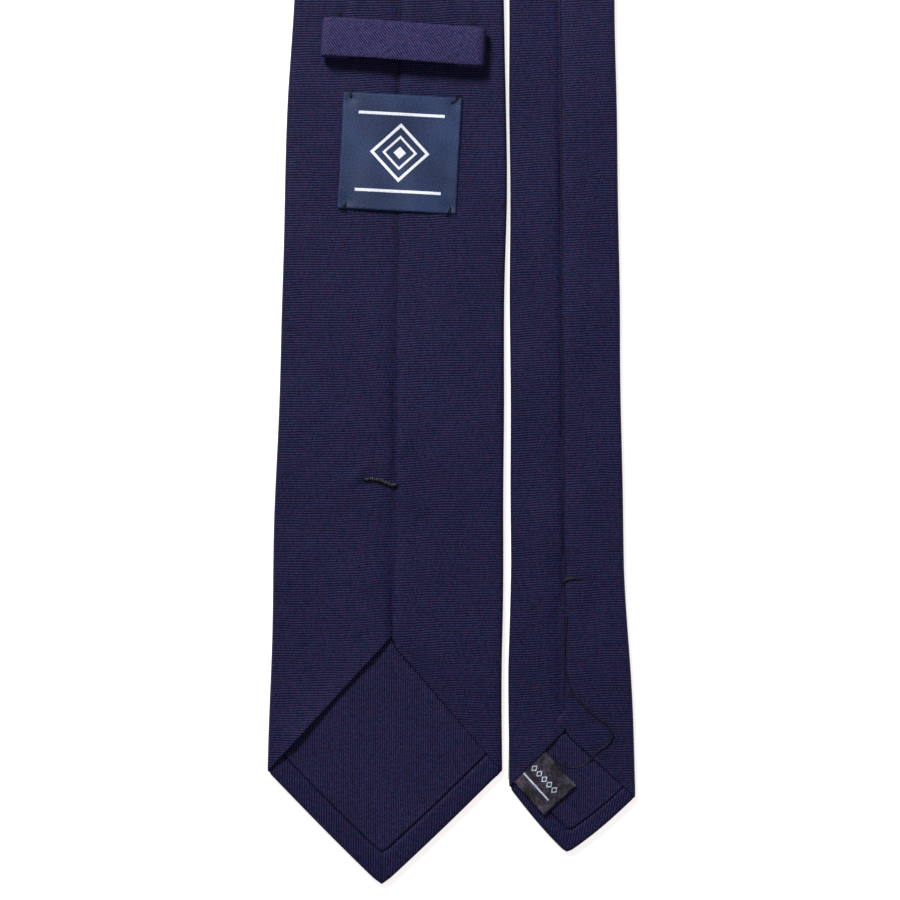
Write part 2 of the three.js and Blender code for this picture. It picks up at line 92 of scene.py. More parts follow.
WIDE_LOW, WIDE_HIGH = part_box("wide_blade_shell")
NARROW_LOW, NARROW_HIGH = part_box("narrow_blade_shell")
BACK = WIDE_HIGH[2]  # level of the tie's back
HEM_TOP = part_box("wide_tipping")[1][2] + 0.1 * MM
BRIDGE_LOW, BRIDGE_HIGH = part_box("neck_shell_bridge")


# ---------------------------------------------------------------- shape helpers


def cad_points(*nodes):
    return np.array([v.co[:] for n in nodes for v in frame["nodes"][n].data.vertices])


def wave(x, y, seed, length, count=7):
    """Smooth random ripples, about -1 to 1, with crests about `length` apart."""
    draw = np.random.default_rng(seed)
    total = np.zeros(np.broadcast(x, y).shape)
    for _ in range(count):
        turn = draw.uniform(0, 2 * math.pi)
        step = 2 * math.pi / (length * draw.uniform(0.6, 1.7))
        total += np.sin(step * (x * math.cos(turn) + y * math.sin(turn)) + draw.uniform(0, 6.3))
    return total / math.sqrt(count)


def hump(x, y, at, wide, tall, turn=0.0):
    """A smooth hill of height 1 at a point, `wide` across and `tall` along, turned by `turn` degrees."""
    c, s = math.cos(math.radians(turn)), math.sin(math.radians(turn))
    dx, dy = x - at[0], y - at[1]
    return np.exp(-(((c * dx + s * dy) / wide) ** 2) - ((c * dy - s * dx) / tall) ** 2)


def near(distance, reach):
    """1 at no distance, fading to nothing over about `reach`."""
    return np.exp(-((distance / reach) ** 2))


def ease(t):
    t = np.clip(t, 0, 1)
    return t * t * (3 - 2 * t)


def grid_piece(name, columns, rows, place, wall=0.0, close=False, flip=False):
    """A cloth grid: place(s, t) gives its points and its weave coordinates from numbers 0 to 1."""
    bm = bmesh.new()
    uv = bm.loops.layers.uv.new("Weave")
    bmesh.ops.create_grid(bm, x_segments=columns, y_segments=rows, size=0.5)
    bm.verts.ensure_lookup_table()
    flat = np.array([v.co[:] for v in bm.verts])
    points, weave = place(flat[:, 0] + 0.5, flat[:, 1] + 0.5)
    for v, p in zip(bm.verts, points):
        v.co = p
    for face in bm.faces:
        for loop in face.loops:
            loop[uv].uv = weave[loop.vert.index]
    if close:
        bmesh.ops.remove_doubles(bm, verts=bm.verts, dist=0.01 * MM)
        bmesh.ops.recalc_face_normals(bm, faces=bm.faces)
    elif flip:
        bmesh.ops.reverse_faces(bm, faces=bm.faces)
    return finish_piece(bm, name, wall)


def finish_piece(bm, name, wall=0.0):
    for face in bm.faces:
        face.smooth = True
    mesh = bpy.data.meshes.new(name)
    bm.to_mesh(mesh)
    bm.free()
    piece = bpy.data.objects.new(name, mesh)
    bpy.context.scene.collection.objects.link(piece)
    if wall:
        thick = piece.modifiers.new("cloth", "SOLIDIFY")
        thick.thickness = wall
        thick.offset = -1
    return piece


def thread_piece(name, paths, diameter):
    """One piece of several round threads, each along its own path."""
    curve = bpy.data.curves.new(name, "CURVE")
    curve.dimensions = "3D"
    curve.bevel_depth = diameter / 2
    curve.bevel_resolution = 3
    curve.use_fill_caps = True
    for path in paths:
        spline = curve.splines.new("NURBS")
        spline.points.add(len(path) - 1)
        for target, p in zip(spline.points, path):
            target.co = (*p, 1)
        spline.order_u = 4
        spline.use_endpoint_u = True
        spline.resolution_u = 6
    piece = bpy.data.objects.new(name, curve)
    bpy.context.scene.collection.objects.link(piece)
    return piece


# ---------------------------------------------------------------- materials


def new_group(name, inputs, outputs):
    group = bpy.data.node_groups.new(name, "ShaderNodeTree")
    for label, kind, value in inputs:
        socket = group.interface.new_socket(label, in_out="INPUT", socket_type=kind)
        socket.default_value = value
    for label, kind in outputs:
        group.interface.new_socket(label, in_out="OUTPUT", socket_type=kind)
    ins = group.nodes.new("NodeGroupInput")
    outs = group.nodes.new("NodeGroupOutput")
    return group, ins, outs


class Wires:
    """Short calls that add nodes to a tree and link them."""

    def __init__(self, tree):
        self.tree = tree

    def put(self, socket, value):
        if isinstance(value, bpy.types.NodeSocket):
            self.tree.links.new(value, socket)
        else:
            socket.default_value = value

    def math(self, how, a, b=0.0, clamp=False):
        node = self.tree.nodes.new("ShaderNodeMath")
        node.operation = how
        node.use_clamp = clamp
        self.put(node.inputs[0], a)
        self.put(node.inputs[1], b)
        return node.outputs[0]

    def combine(self, x, y, z=0.0):
        node = self.tree.nodes.new("ShaderNodeCombineXYZ")
        for socket, value in zip(node.inputs, (x, y, z)):
            self.put(socket, value)
        return node.outputs[0]

    def noise(self, vector, scale, detail=2.0, rough=0.5):
        node = self.tree.nodes.new("ShaderNodeTexNoise")
        self.put(node.inputs["Vector"], vector)
        node.inputs["Scale"].default_value = scale
        node.inputs["Detail"].default_value = detail
        node.inputs["Roughness"].default_value = rough
        return node.outputs["Fac"]

    def mix(self, share, a, b):
        node = self.tree.nodes.new("ShaderNodeMix")
        node.data_type = "RGBA"
        self.put(node.inputs[0], share)
        self.put(node.inputs[6], a)
        self.put(node.inputs[7], b)
        return node.outputs[2]

    def ramp(self, value, low, high, to_low=0.0, to_high=1.0):
        node = self.tree.nodes.new("ShaderNodeMapRange")
        node.interpolation_type = "SMOOTHSTEP"
        for socket, number in zip(node.inputs, (value, low, high, to_low, to_high)):
            self.put(socket, number)
        return node.outputs[0]

    def split(self, vector):
        node = self.tree.nodes.new("ShaderNodeSeparateXYZ")
        self.put(node.inputs[0], vector)
        return node.outputs


def rib_group():
    """Ribbed two-tone silk, darker towards the grooves between its ribs, where the dark yarn shows with
    painted shade: u runs along the ribs and v across them, both in metres.
    """
    group, ins, outs = new_group(
        "ribbed weave",
        [
            ("Weave", "NodeSocketVector", (0, 0, 0)),
            ("Pitch", "NodeSocketFloat", RIB),
            ("Rib", "NodeSocketColor", (0.1, 0.1, 0.2, 1)),
            ("Groove", "NodeSocketColor", (0.01, 0.01, 0.02, 1)),
            ("Fleck", "NodeSocketColor", (0.1, 0.01, 0.05, 1)),
            ("Fleck share", "NodeSocketFloat", 0.5),
            ("Wander", "NodeSocketFloat", 0.25),
        ],
        [("Color", "NodeSocketColor"), ("Roughness", "NodeSocketFloat"), ("Height", "NodeSocketFloat")],
    )
    w = Wires(group)
    u, v, _ = w.split(ins.outputs["Weave"])
    pitch = ins.outputs["Pitch"]
    drift = w.noise(w.combine(u, v), 90, 2)
    across = w.math("DIVIDE", v, pitch)
    across = w.math("ADD", across, w.math("MULTIPLY", drift, ins.outputs["Wander"]))
    number = w.math("FLOOR", across)
    wave_in = w.math("MULTIPLY", across, 2 * math.pi)
    profile = w.math("MULTIPLY_ADD", w.math("SINE", w.math("SUBTRACT", wave_in, math.pi / 2)), 0.5)
    profile.node.inputs[2].default_value = 0.5
    crown = w.math("POWER", profile, 0.8)
    # The weft floats over each rib in short dashes, each with its own shade.
    along = w.math("MULTIPLY", u, 1500)
    dash = w.noise(w.combine(along, w.math("MULTIPLY", number, 3.71)), 1, 1)
    plum = w.noise(w.combine(w.math("MULTIPLY", u, 1250), w.math("MULTIPLY", number, 5.3), 7), 1, 1)
    fine = w.math("SINE", w.math("MULTIPLY", u, 2 * math.pi / (0.3 * MM)))
    fine = w.math("MULTIPLY_ADD", fine, 0.5)
    fine.node.inputs[2].default_value = 0.5
    # Each rib's colour fades to the groove colour at its edges, and the fine threads darken between them:
    # the dark yarn there with painted shade.
    shade = w.math("MULTIPLY", crown, w.ramp(dash, 0.32, 0.68, 0.5, 1.0))
    shade = w.math("MULTIPLY", shade, w.ramp(fine, 0, 1, 0.86, 1.0))
    colour = w.mix(shade, ins.outputs["Groove"], ins.outputs["Rib"])
    fleck = w.math("MULTIPLY", w.ramp(plum, 0.5, 0.66), ins.outputs["Fleck share"])
    fleck = w.math("MULTIPLY", fleck, w.ramp(profile, 0.1, 0.8, 0.25, 1.0))
    colour = w.mix(fleck, colour, ins.outputs["Fleck"])
    w.put(outs.inputs["Color"], colour)
    w.put(outs.inputs["Roughness"], w.ramp(profile, 0, 1, 0.62, 0.44))
    height = w.math("ADD", w.math("MULTIPLY", crown, 1.0), w.math("MULTIPLY", fine, 0.18))
    w.put(outs.inputs["Height"], height)
    return group


def sheen_patch_group():
    """Soft, uneven light and dark patches over a colour, placed at random: painted sheen and shade."""
    group, ins, outs = new_group(
        "painted sheen patches",
        [
            ("Color", "NodeSocketColor", (0.5, 0.5, 0.5, 1)),
            ("Weave", "NodeSocketVector", (0, 0, 0)),
            ("Depth", "NodeSocketFloat", 0.2),
        ],
        [("Color", "NodeSocketColor")],
    )
    w = Wires(group)
    patch = w.noise(ins.outputs["Weave"], 32, 3, 0.55)
    gain = w.math("MULTIPLY_ADD", w.math("SUBTRACT", patch, 0.5), ins.outputs["Depth"])
    gain.node.inputs[2].default_value = 1.0
    scaled = group.nodes.new("ShaderNodeVectorMath")
    scaled.operation = "SCALE"
    w.put(scaled.inputs[0], ins.outputs["Color"])
    w.put(scaled.inputs["Scale"], gain)
    w.put(outs.inputs["Color"], scaled.outputs[0])
    return group


def fibre_group():
    """Fine random fibre for thread, felted wool and satin."""
    group, ins, outs = new_group(
        "fibre",
        [
            ("Vector", "NodeSocketVector", (0, 0, 0)),
            ("Scale", "NodeSocketFloat", 1000.0),
            ("Dark", "NodeSocketColor", (0, 0, 0, 1)),
            ("Light", "NodeSocketColor", (1, 1, 1, 1)),
        ],
        [("Color", "NodeSocketColor"), ("Height", "NodeSocketFloat")],
    )
    w = Wires(group)
    node = group.nodes.new("ShaderNodeTexNoise")
    w.put(node.inputs["Vector"], ins.outputs["Vector"])
    w.put(node.inputs["Scale"], ins.outputs["Scale"])
    node.inputs["Detail"].default_value = 4
    fac = node.outputs["Fac"]
    w.put(outs.inputs["Color"], w.mix(w.ramp(fac, 0.3, 0.7), ins.outputs["Dark"], ins.outputs["Light"]))
    w.put(outs.inputs["Height"], fac)
    return group


RIBS, SHEEN_PATCHES, FIBRE = rib_group(), sheen_patch_group(), fibre_group()


def shader(name, sheen=0.0, specular=0.4):
    material = bpy.data.materials.new(name)
    material.use_nodes = True
    tree = material.node_tree
    surface = tree.nodes["Principled BSDF"]
    surface.inputs["Sheen Weight"].default_value = sheen
    surface.inputs["Sheen Roughness"].default_value = 0.4
    surface.inputs["Sheen Tint"].default_value = (0.55, 0.55, 0.95, 1)
    surface.inputs["Specular IOR Level"].default_value = specular
    return material, tree, surface, Wires(tree)


def add_group(tree, group, **values):
    node = tree.nodes.new("ShaderNodeGroup")
    node.node_tree = group
    wires = Wires(tree)
    for label, value in values.items():
        wires.put(node.inputs[label.replace("_", " ")], value)
    return node


def weave_map(tree):
    node = tree.nodes.new("ShaderNodeUVMap")
    node.uv_map = "Weave"
    return node.outputs[0]


def bump(tree, surface, height, distance, strength):
    node = tree.nodes.new("ShaderNodeBump")
    node.inputs["Distance"].default_value = distance
    node.inputs["Strength"].default_value = strength
    tree.links.new(height, node.inputs["Height"])
    tree.links.new(node.outputs[0], surface.inputs["Normal"])


def silk(name, rib, groove_and_shade, fleck, pitch, share=0.5):
    material, tree, surface, _ = shader(name, sheen=0.015, specular=0.05)
    weave = weave_map(tree)
    ribs = add_group(
        tree, RIBS, Weave=weave, Pitch=pitch, Rib=(*rib, 1), Groove=(*groove_and_shade, 1),
        Fleck=(*fleck, 1), Fleck_share=share,
    )
    # Random patches of painted sheen and shade over the woven colour.
    sheen_patches = add_group(tree, SHEEN_PATCHES, Color=ribs.outputs["Color"], Weave=weave, Depth=0.35)
    tree.links.new(sheen_patches.outputs[0], surface.inputs["Base Color"])
    tree.links.new(ribs.outputs["Roughness"], surface.inputs["Roughness"])
    bump(tree, surface, ribs.outputs["Height"], 0.12 * MM, 0.7)
    return material


def fibre_material(name, dark, light, scale, rough, sheen=0.0, deep=0.1, specular=0.4):
    material, tree, surface, _ = shader(name, sheen=sheen, specular=specular)
    place = tree.nodes.new("ShaderNodeTexCoord")
    fibre = add_group(
        tree, FIBRE, Vector=place.outputs["Object"], Scale=scale, Dark=(*dark, 1), Light=(*light, 1)
    )
    tree.links.new(fibre.outputs["Color"], surface.inputs["Base Color"])
    surface.inputs["Roughness"].default_value = rough
    bump(tree, surface, fibre.outputs["Height"], deep * MM, 0.5)
    return material


def label_material():
    """Dark blue satin with nested lozenges between two rules, woven in white. Weave runs from 0 to 1."""
    material, tree, surface, w = shader("label satin", sheen=0.03, specular=0.15)
    u, v, _ = w.split(weave_map(tree))
    x = w.math("ABSOLUTE", w.math("SUBTRACT", u, 0.5))
    y = w.math("ABSOLUTE", w.math("SUBTRACT", v, 0.5))
    reach = w.math("ADD", x, y)

    def line(value, at, half):
        return w.ramp(w.math("ABSOLUTE", w.math("SUBTRACT", value, at)), half, half + 0.006, 1.0, 0.0)

    rules = w.math("MULTIPLY", line(y, 0.33, 0.009), w.ramp(x, 0.36, 0.366, 1.0, 0.0))
    mark = w.math("MAXIMUM", line(reach, 0.235, 0.014), line(reach, 0.135, 0.01))
    mark = w.math("MAXIMUM", mark, w.ramp(reach, 0.05, 0.056, 1.0, 0.0))
    mark = w.math("MAXIMUM", mark, rules)
    ribs = w.math("SINE", w.math("MULTIPLY", v, 2 * math.pi * 150))
    cloth = w.noise(w.combine(w.math("MULTIPLY", u, 70), w.math("MULTIPLY", v, 110)), 1, 4, 0.7)
    slow = w.noise(w.combine(w.math("MULTIPLY", u, 2.2), w.math("MULTIPLY", v, 2.2)), 1, 2)
    cloth = w.math("ADD", w.math("MULTIPLY", cloth, 0.7), w.math("MULTIPLY", slow, 0.3), True)
    cloth = w.ramp(cloth, 0.38, 0.62)
    ground = w.mix(cloth, (0.006, 0.012, 0.038, 1), (0.026, 0.046, 0.12, 1))
    white = w.mix(cloth, (0.5, 0.53, 0.62, 1), (0.9, 0.92, 0.98, 1))
    tree.links.new(w.mix(mark, ground, white), surface.inputs["Base Color"])
    surface.inputs["Roughness"].default_value = 0.42
    bump(tree, surface, w.math("ADD", w.math("MULTIPLY", ribs, 0.25), mark), 0.08 * MM, 0.5)
    return material


TAG_LOZENGE = 2.5 * MM  # pitch of the row of lozenges on the care tag


def tag_material():
    """Near black satin with a row of small lozenges and a rule woven in grey; the paler patches of its
    ground are painted highlights together with the satin's own mottle. Weave runs in metres: across the
    ribbon from its middle, and along it from its root."""
    material, tree, surface, w = shader("tag satin", sheen=0.06, specular=0.25)
    u, v, _ = w.split(weave_map(tree))

    def line(value, at, half):
        return w.ramp(w.math("ABSOLUTE", w.math("SUBTRACT", value, at)), half, half * 1.3, 1.0, 0.0)

    beat = w.math("FRACT", w.math("DIVIDE", v, TAG_LOZENGE))
    along = w.math("ABSOLUTE", w.math("SUBTRACT", beat, 0.5))
    across = w.math("DIVIDE", w.math("ABSOLUTE", w.math("SUBTRACT", u, 0.9 * MM)), 1.25 * TAG_LOZENGE)
    lozenges = line(w.math("ADD", along, across), 0.36, 0.07)
    rule = line(u, -2.9 * MM, 0.28 * MM)
    from_middle = w.math("ABSOLUTE", w.math("SUBTRACT", v, 3.5 * TAG_LOZENGE))
    on_face = w.ramp(from_middle, 6.2 * MM, 6.3 * MM, 1.0, 0.0)
    mark = w.math("MULTIPLY", w.math("MAXIMUM", lozenges, rule), on_face)
    cloth = w.noise(w.combine(w.math("MULTIPLY", u, 2200), w.math("MULTIPLY", v, 700)), 1, 4, 0.7)
    slow = w.noise(w.combine(w.math("MULTIPLY", u, 160), w.math("MULTIPLY", v, 160)), 1, 2)
    cloth = w.math("ADD", w.math("MULTIPLY", cloth, 0.55), w.math("MULTIPLY", slow, 0.45))
    cloth = w.ramp(cloth, 0.42, 0.62)
    # The ground's pale patches, placed at random, are painted highlights on top of the satin's own mottle.
    ground = w.mix(cloth, (0.003, 0.0025, 0.006, 1), (0.066, 0.054, 0.082, 1))
    grey = w.mix(cloth, (0.3, 0.34, 0.43, 1), (0.66, 0.74, 0.86, 1))
    tree.links.new(w.mix(mark, ground, grey), surface.inputs["Base Color"])
    surface.inputs["Roughness"].default_value = 0.32
    bump(tree, surface, cloth, 0.12 * MM, 0.5)
    return material


# Each silk's second colour is the dark of its grooves: the dark yarn with painted shade.
BLADE_SILK = silk(
    "blade silk", (0.0235, 0.0285, 0.098), (0.0006, 0.0009, 0.006), (0.046, 0.011, 0.046), RIB, 0.6
)
TIPPING_SILK = silk(
    "tipping silk", (0.03, 0.034, 0.11), (0.0005, 0.0008, 0.005), (0.046, 0.011, 0.043), TIPPING_RIB, 0.6
)
KEEPER_SILK = silk(
    "keeper silk", (0.064, 0.063, 0.195), (0.001, 0.001, 0.008), (0.085, 0.026, 0.085), 0.74 * MM
)
THREAD = fibre_material(
    "black thread", (0.001, 0.001, 0.0015), (0.012, 0.011, 0.013), 6000, 0.5, specular=0.2
)
# Black thread with pale specks at random, which are painted highlights on the tack's winding.
GLINT_PAINTED_THREAD = fibre_material(
    "thread with painted glints", (0.001, 0.001, 0.0015), (0.07, 0.072, 0.068), 1300, 0.35
)
WOOL = fibre_material(
    "wool interlining", (0.42, 0.37, 0.29), (0.75, 0.7, 0.6), 900, 0.95, sheen=0.3, deep=0.3
)
LABEL = label_material()
TAG = tag_material()


def dress(piece, material, body, slot, *nodes):
    """Gives a new piece its material and its body, and hides the CAD nodes that it stands for. The slot is
    not used.
    """
    piece.data.materials.append(material)
    if nodes:
        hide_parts(*nodes)
    if body:
        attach(piece, body)
    return piece


def place_camera():
    """Looks straight down on the lower part of the tie."""
    view_width, lens, sensor = 0.3077, 100.0, 36.0
    above_tip, aside = 0.1487, -0.4 * MM
    data = bpy.data.cameras.new("camera")
    data.lens = lens
    data.sensor_width = sensor
    data.clip_start = 0.01
    camera = bpy.data.objects.new("camera", data)
    camera.location = (aside, WIDE_LOW[1] + above_tip, BACK + view_width * lens / sensor)
    bpy.context.scene.collection.objects.link(camera)
    bpy.context.scene.camera = camera


place_camera()


# ---------------------------------------------------------------- the loose thread

APEX_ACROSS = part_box("spare_thread")[1][0] - 16.25 * MM
APEX_UP = NARROW_LOW[1] + 43 * MM
ON_FLAP, ON_TIPPING = 4.05, 3.25  # levels of the thread, in mm
SPARE_ROUTE = [
    (0.6, 37.9, 0), (-0.1, 28.8, 0), (-0.3, 22.3, 0), (0.6, 17, 0), (1.8, 13, 0), (3.3, 10.2, 0),
    (5.7, 7.6, 0), (8.6, 4.9, 0), (11.7, 2.3, 0), (15.3, -0.5, 0), (16, -2.6, 0), (15, -5.4, 0),
    (11.7, -8.1, 0), (10, -9.9, 0.3), (7, -13, 1), (3.1, -14.3, 1), (-0.1, -13.9, 1),
    (-2.9, -12, 1), (-4.1, -8.8, 1), (-3.7, -5.7, 1), (-2.1, -3.4, 1), (-1.1, -2.2, 1),
]  # across from the apex, above the apex, and 0 on the flap to 1 on the tipping
SPARE_DIAMETER = 0.5 * MM


def make_spare_thread():
    points = [
        Vector((APEX_ACROSS + x * MM, APEX_UP + y * MM, (ON_FLAP + (ON_TIPPING - ON_FLAP) * drop) * MM))
        for x, y, drop in SPARE_ROUTE
    ]
    curve = bpy.data.curves.new("spare_thread_silk", "CURVE")
    curve.dimensions = "3D"
    curve.bevel_depth = SPARE_DIAMETER / 2
    curve.bevel_resolution = 3
    curve.use_fill_caps = True
    spline = curve.splines.new("BEZIER")
    spline.bezier_points.add(len(points) - 1)
    spline.resolution_u = 8
    for target, p in zip(spline.bezier_points, points):
        target.co = p
        target.handle_left_type = target.handle_right_type = "AUTO"
    piece = bpy.data.objects.new("spare_thread_silk", curve)
    bpy.context.scene.collection.objects.link(piece)
    dress(piece, THREAD, "narrow_blade", "thread", "spare_thread")
    bpy.context.view_layer.update()


make_spare_thread()


# ---------------------------------------------------------------- the silk of each side


class Side:
    """The edges and the seam of one side, read off its CAD shells."""

    def __init__(self, shells, sizes):
        points = cad_points(*shells)
        low = points[points[:, 2] < 0.1 * MM]
        self.tip = low[low[:, 1].argmin()][:2] + np.array(sizes["tip_shift"])
        top = low[:, 1].max()
        neck = low[low[:, 1] > top - 60 * MM]
        spine = np.interp(
            low[:, 1], [self.tip[1], top], [self.tip[0], (neck[:, 0].min() + neck[:, 0].max()) / 2]
        )
        self.edges = []
        for sign in (-1, 1):
            line = low[(low[:, 0] - spine) * sign >= -0.01 * MM]
            line = line[line[:, 1].argsort()][:, :2]
            keep = [line[0]]
            for p in line[1:]:
                if p[1] - keep[-1][1] > 1 * MM:
                    keep.append(p)
            self.edges.append(np.array(keep))
        self.corners = [self.tip[1] + h for h in sizes["corners"]]
        self.apex = self.tip[1] + sizes["apex"]
        self.hem = sizes["hem"]
        self.overlap = sizes["overlap"]
        self.bulge = sizes["bulge"]
        self.lining_top = self.tip[1] + sizes["lining_top"]
        self.corner_x = [float(self.edge(k, self.corners[k])) for k in (0, 1)]
        self.seam_shift = sizes["seam_shift"]

    def edge(self, k, y):
        """The side edge, 0 for left and 1 for right, which runs straight on below its corner."""
        y = np.maximum(y, self.edges[k][1, 1])
        return np.interp(y, self.edges[k][:, 1], self.edges[k][:, 0])

    def centre(self, y):
        return (self.edge(0, y) + self.edge(1, y)) / 2

    def seam(self, y):
        y = np.maximum(y, self.apex)
        up = np.clip((y - self.apex) / (self.seam_shift[2] * MM), 0, 1)
        return self.centre(y) + (self.seam_shift[0] * (1 - up) + self.seam_shift[1] * up) * MM

    def ridge(self, y):
        away = np.clip((self.tip[1] + 90 * MM - y) / (90 * MM), 0, 1)
        return self.centre(np.maximum(y, max(self.corners))) * (1 - away) + self.tip[0] * away

    def lean(self, x, k=None):
        """The slope of the V's edge at x, and how much longer it is than its reach across."""
        k = np.clip((x - self.tip[0]) / (3 * MM) + 0.5, 0, 1) if k is None else k
        run = (self.tip[0] - self.corner_x[0]) * (1 - k) + (self.corner_x[1] - self.tip[0]) * k
        rise = self.corners[0] * (1 - k) + self.corners[1] * k - self.tip[1]
        return rise / run, np.hypot(run, rise) / run

    def vee(self, x, inset=0.0):
        """Height at x of the tip's V moved inwards by inset."""
        slope, stretch = self.lean(x)
        reach = np.abs(x - self.tip[0])
        run = np.where(x > self.tip[0], self.corner_x[1] - self.tip[0], self.tip[0] - self.corner_x[0])
        swell = self.bulge * np.sin(math.pi * np.clip(reach / run, 0, 1))
        return self.tip[1] + slope * np.hypot(reach, TIP_ROUND) - swell + inset * stretch

    def diagonal(self, x, hand):
        """Height at x of a flap's lower edge, and how much longer it is than its reach across."""
        k = (hand > 0).astype(int)
        corner_x = np.where(k, self.corner_x[1], self.corner_x[0])
        corner_y = np.where(k, self.corners[1], self.corners[0])
        apex = self.apex - np.where(k, self.overlap, 0)
        run, rise = self.seam(self.apex) - corner_x, apex - corner_y
        return corner_y + rise * (x - corner_x) / run, np.hypot(run, rise) / np.abs(run)


class Strip:
    """The straight strip of the bridge, in its own frame."""

    def __init__(self, half):
        self.half = half

    def edge(self, k, y):
        return np.full(np.shape(y), self.half * (2 * k - 1))

    def seam(self, y):
        return np.zeros(np.shape(y))

    centre = ridge = seam


STATIONS = (("under", 4), ("flap", 26), ("roll", 8), ("front", 41), ("roll", 8), ("flap", 26), ("under", 4))
COLUMNS = sum(count for _, count in STATIONS)
HEM_ROWS = 10
UNDER_AT = (0, 0.25, 0.5, 0.75, 1)
UNDER_ACROSS = (0, 0.22, 0.3, 0.34, 3.2)  # where the left flap drops and runs on under the right one
UNDER_DOWN = (0, 0.12, 0.5, 0.92, 0.95)
LOWEST_FLAP, LOWEST_UNDER, LOWER_ON_TIPPING = 3.28, 3.22, 0.45  # mm, where the back rests on what is inside
DEEPEST_CORNER = 0.4 * MM  # how far a folded end may pull the side edge inwards
HEM_BEND = 0.6  # share of a turned end that bends over; the rest lies flat


def stations():
    """For every column: its kind, its hand and its share, 0 at the outer end of each kind."""
    rows = []
    for k, (kind, count) in enumerate(STATIONS):
        for i in range(count + (k == len(STATIONS) - 1)):
            share = i / count
            if k < 3:
                share = 1 - share
            if kind == "front" and abs(share - 0.5) < 0.6 / count:
                share = 0.5 + math.copysign(0.0005, share - 0.5)  # the mitre at the tip is sharp
            rows.append((kind, -1 if k < 3 else 1, share))
    kinds, hands, shares = zip(*rows)
    return np.array(kinds), np.array(hands), np.array(shares)


KIND, HAND, SHARE = stations()


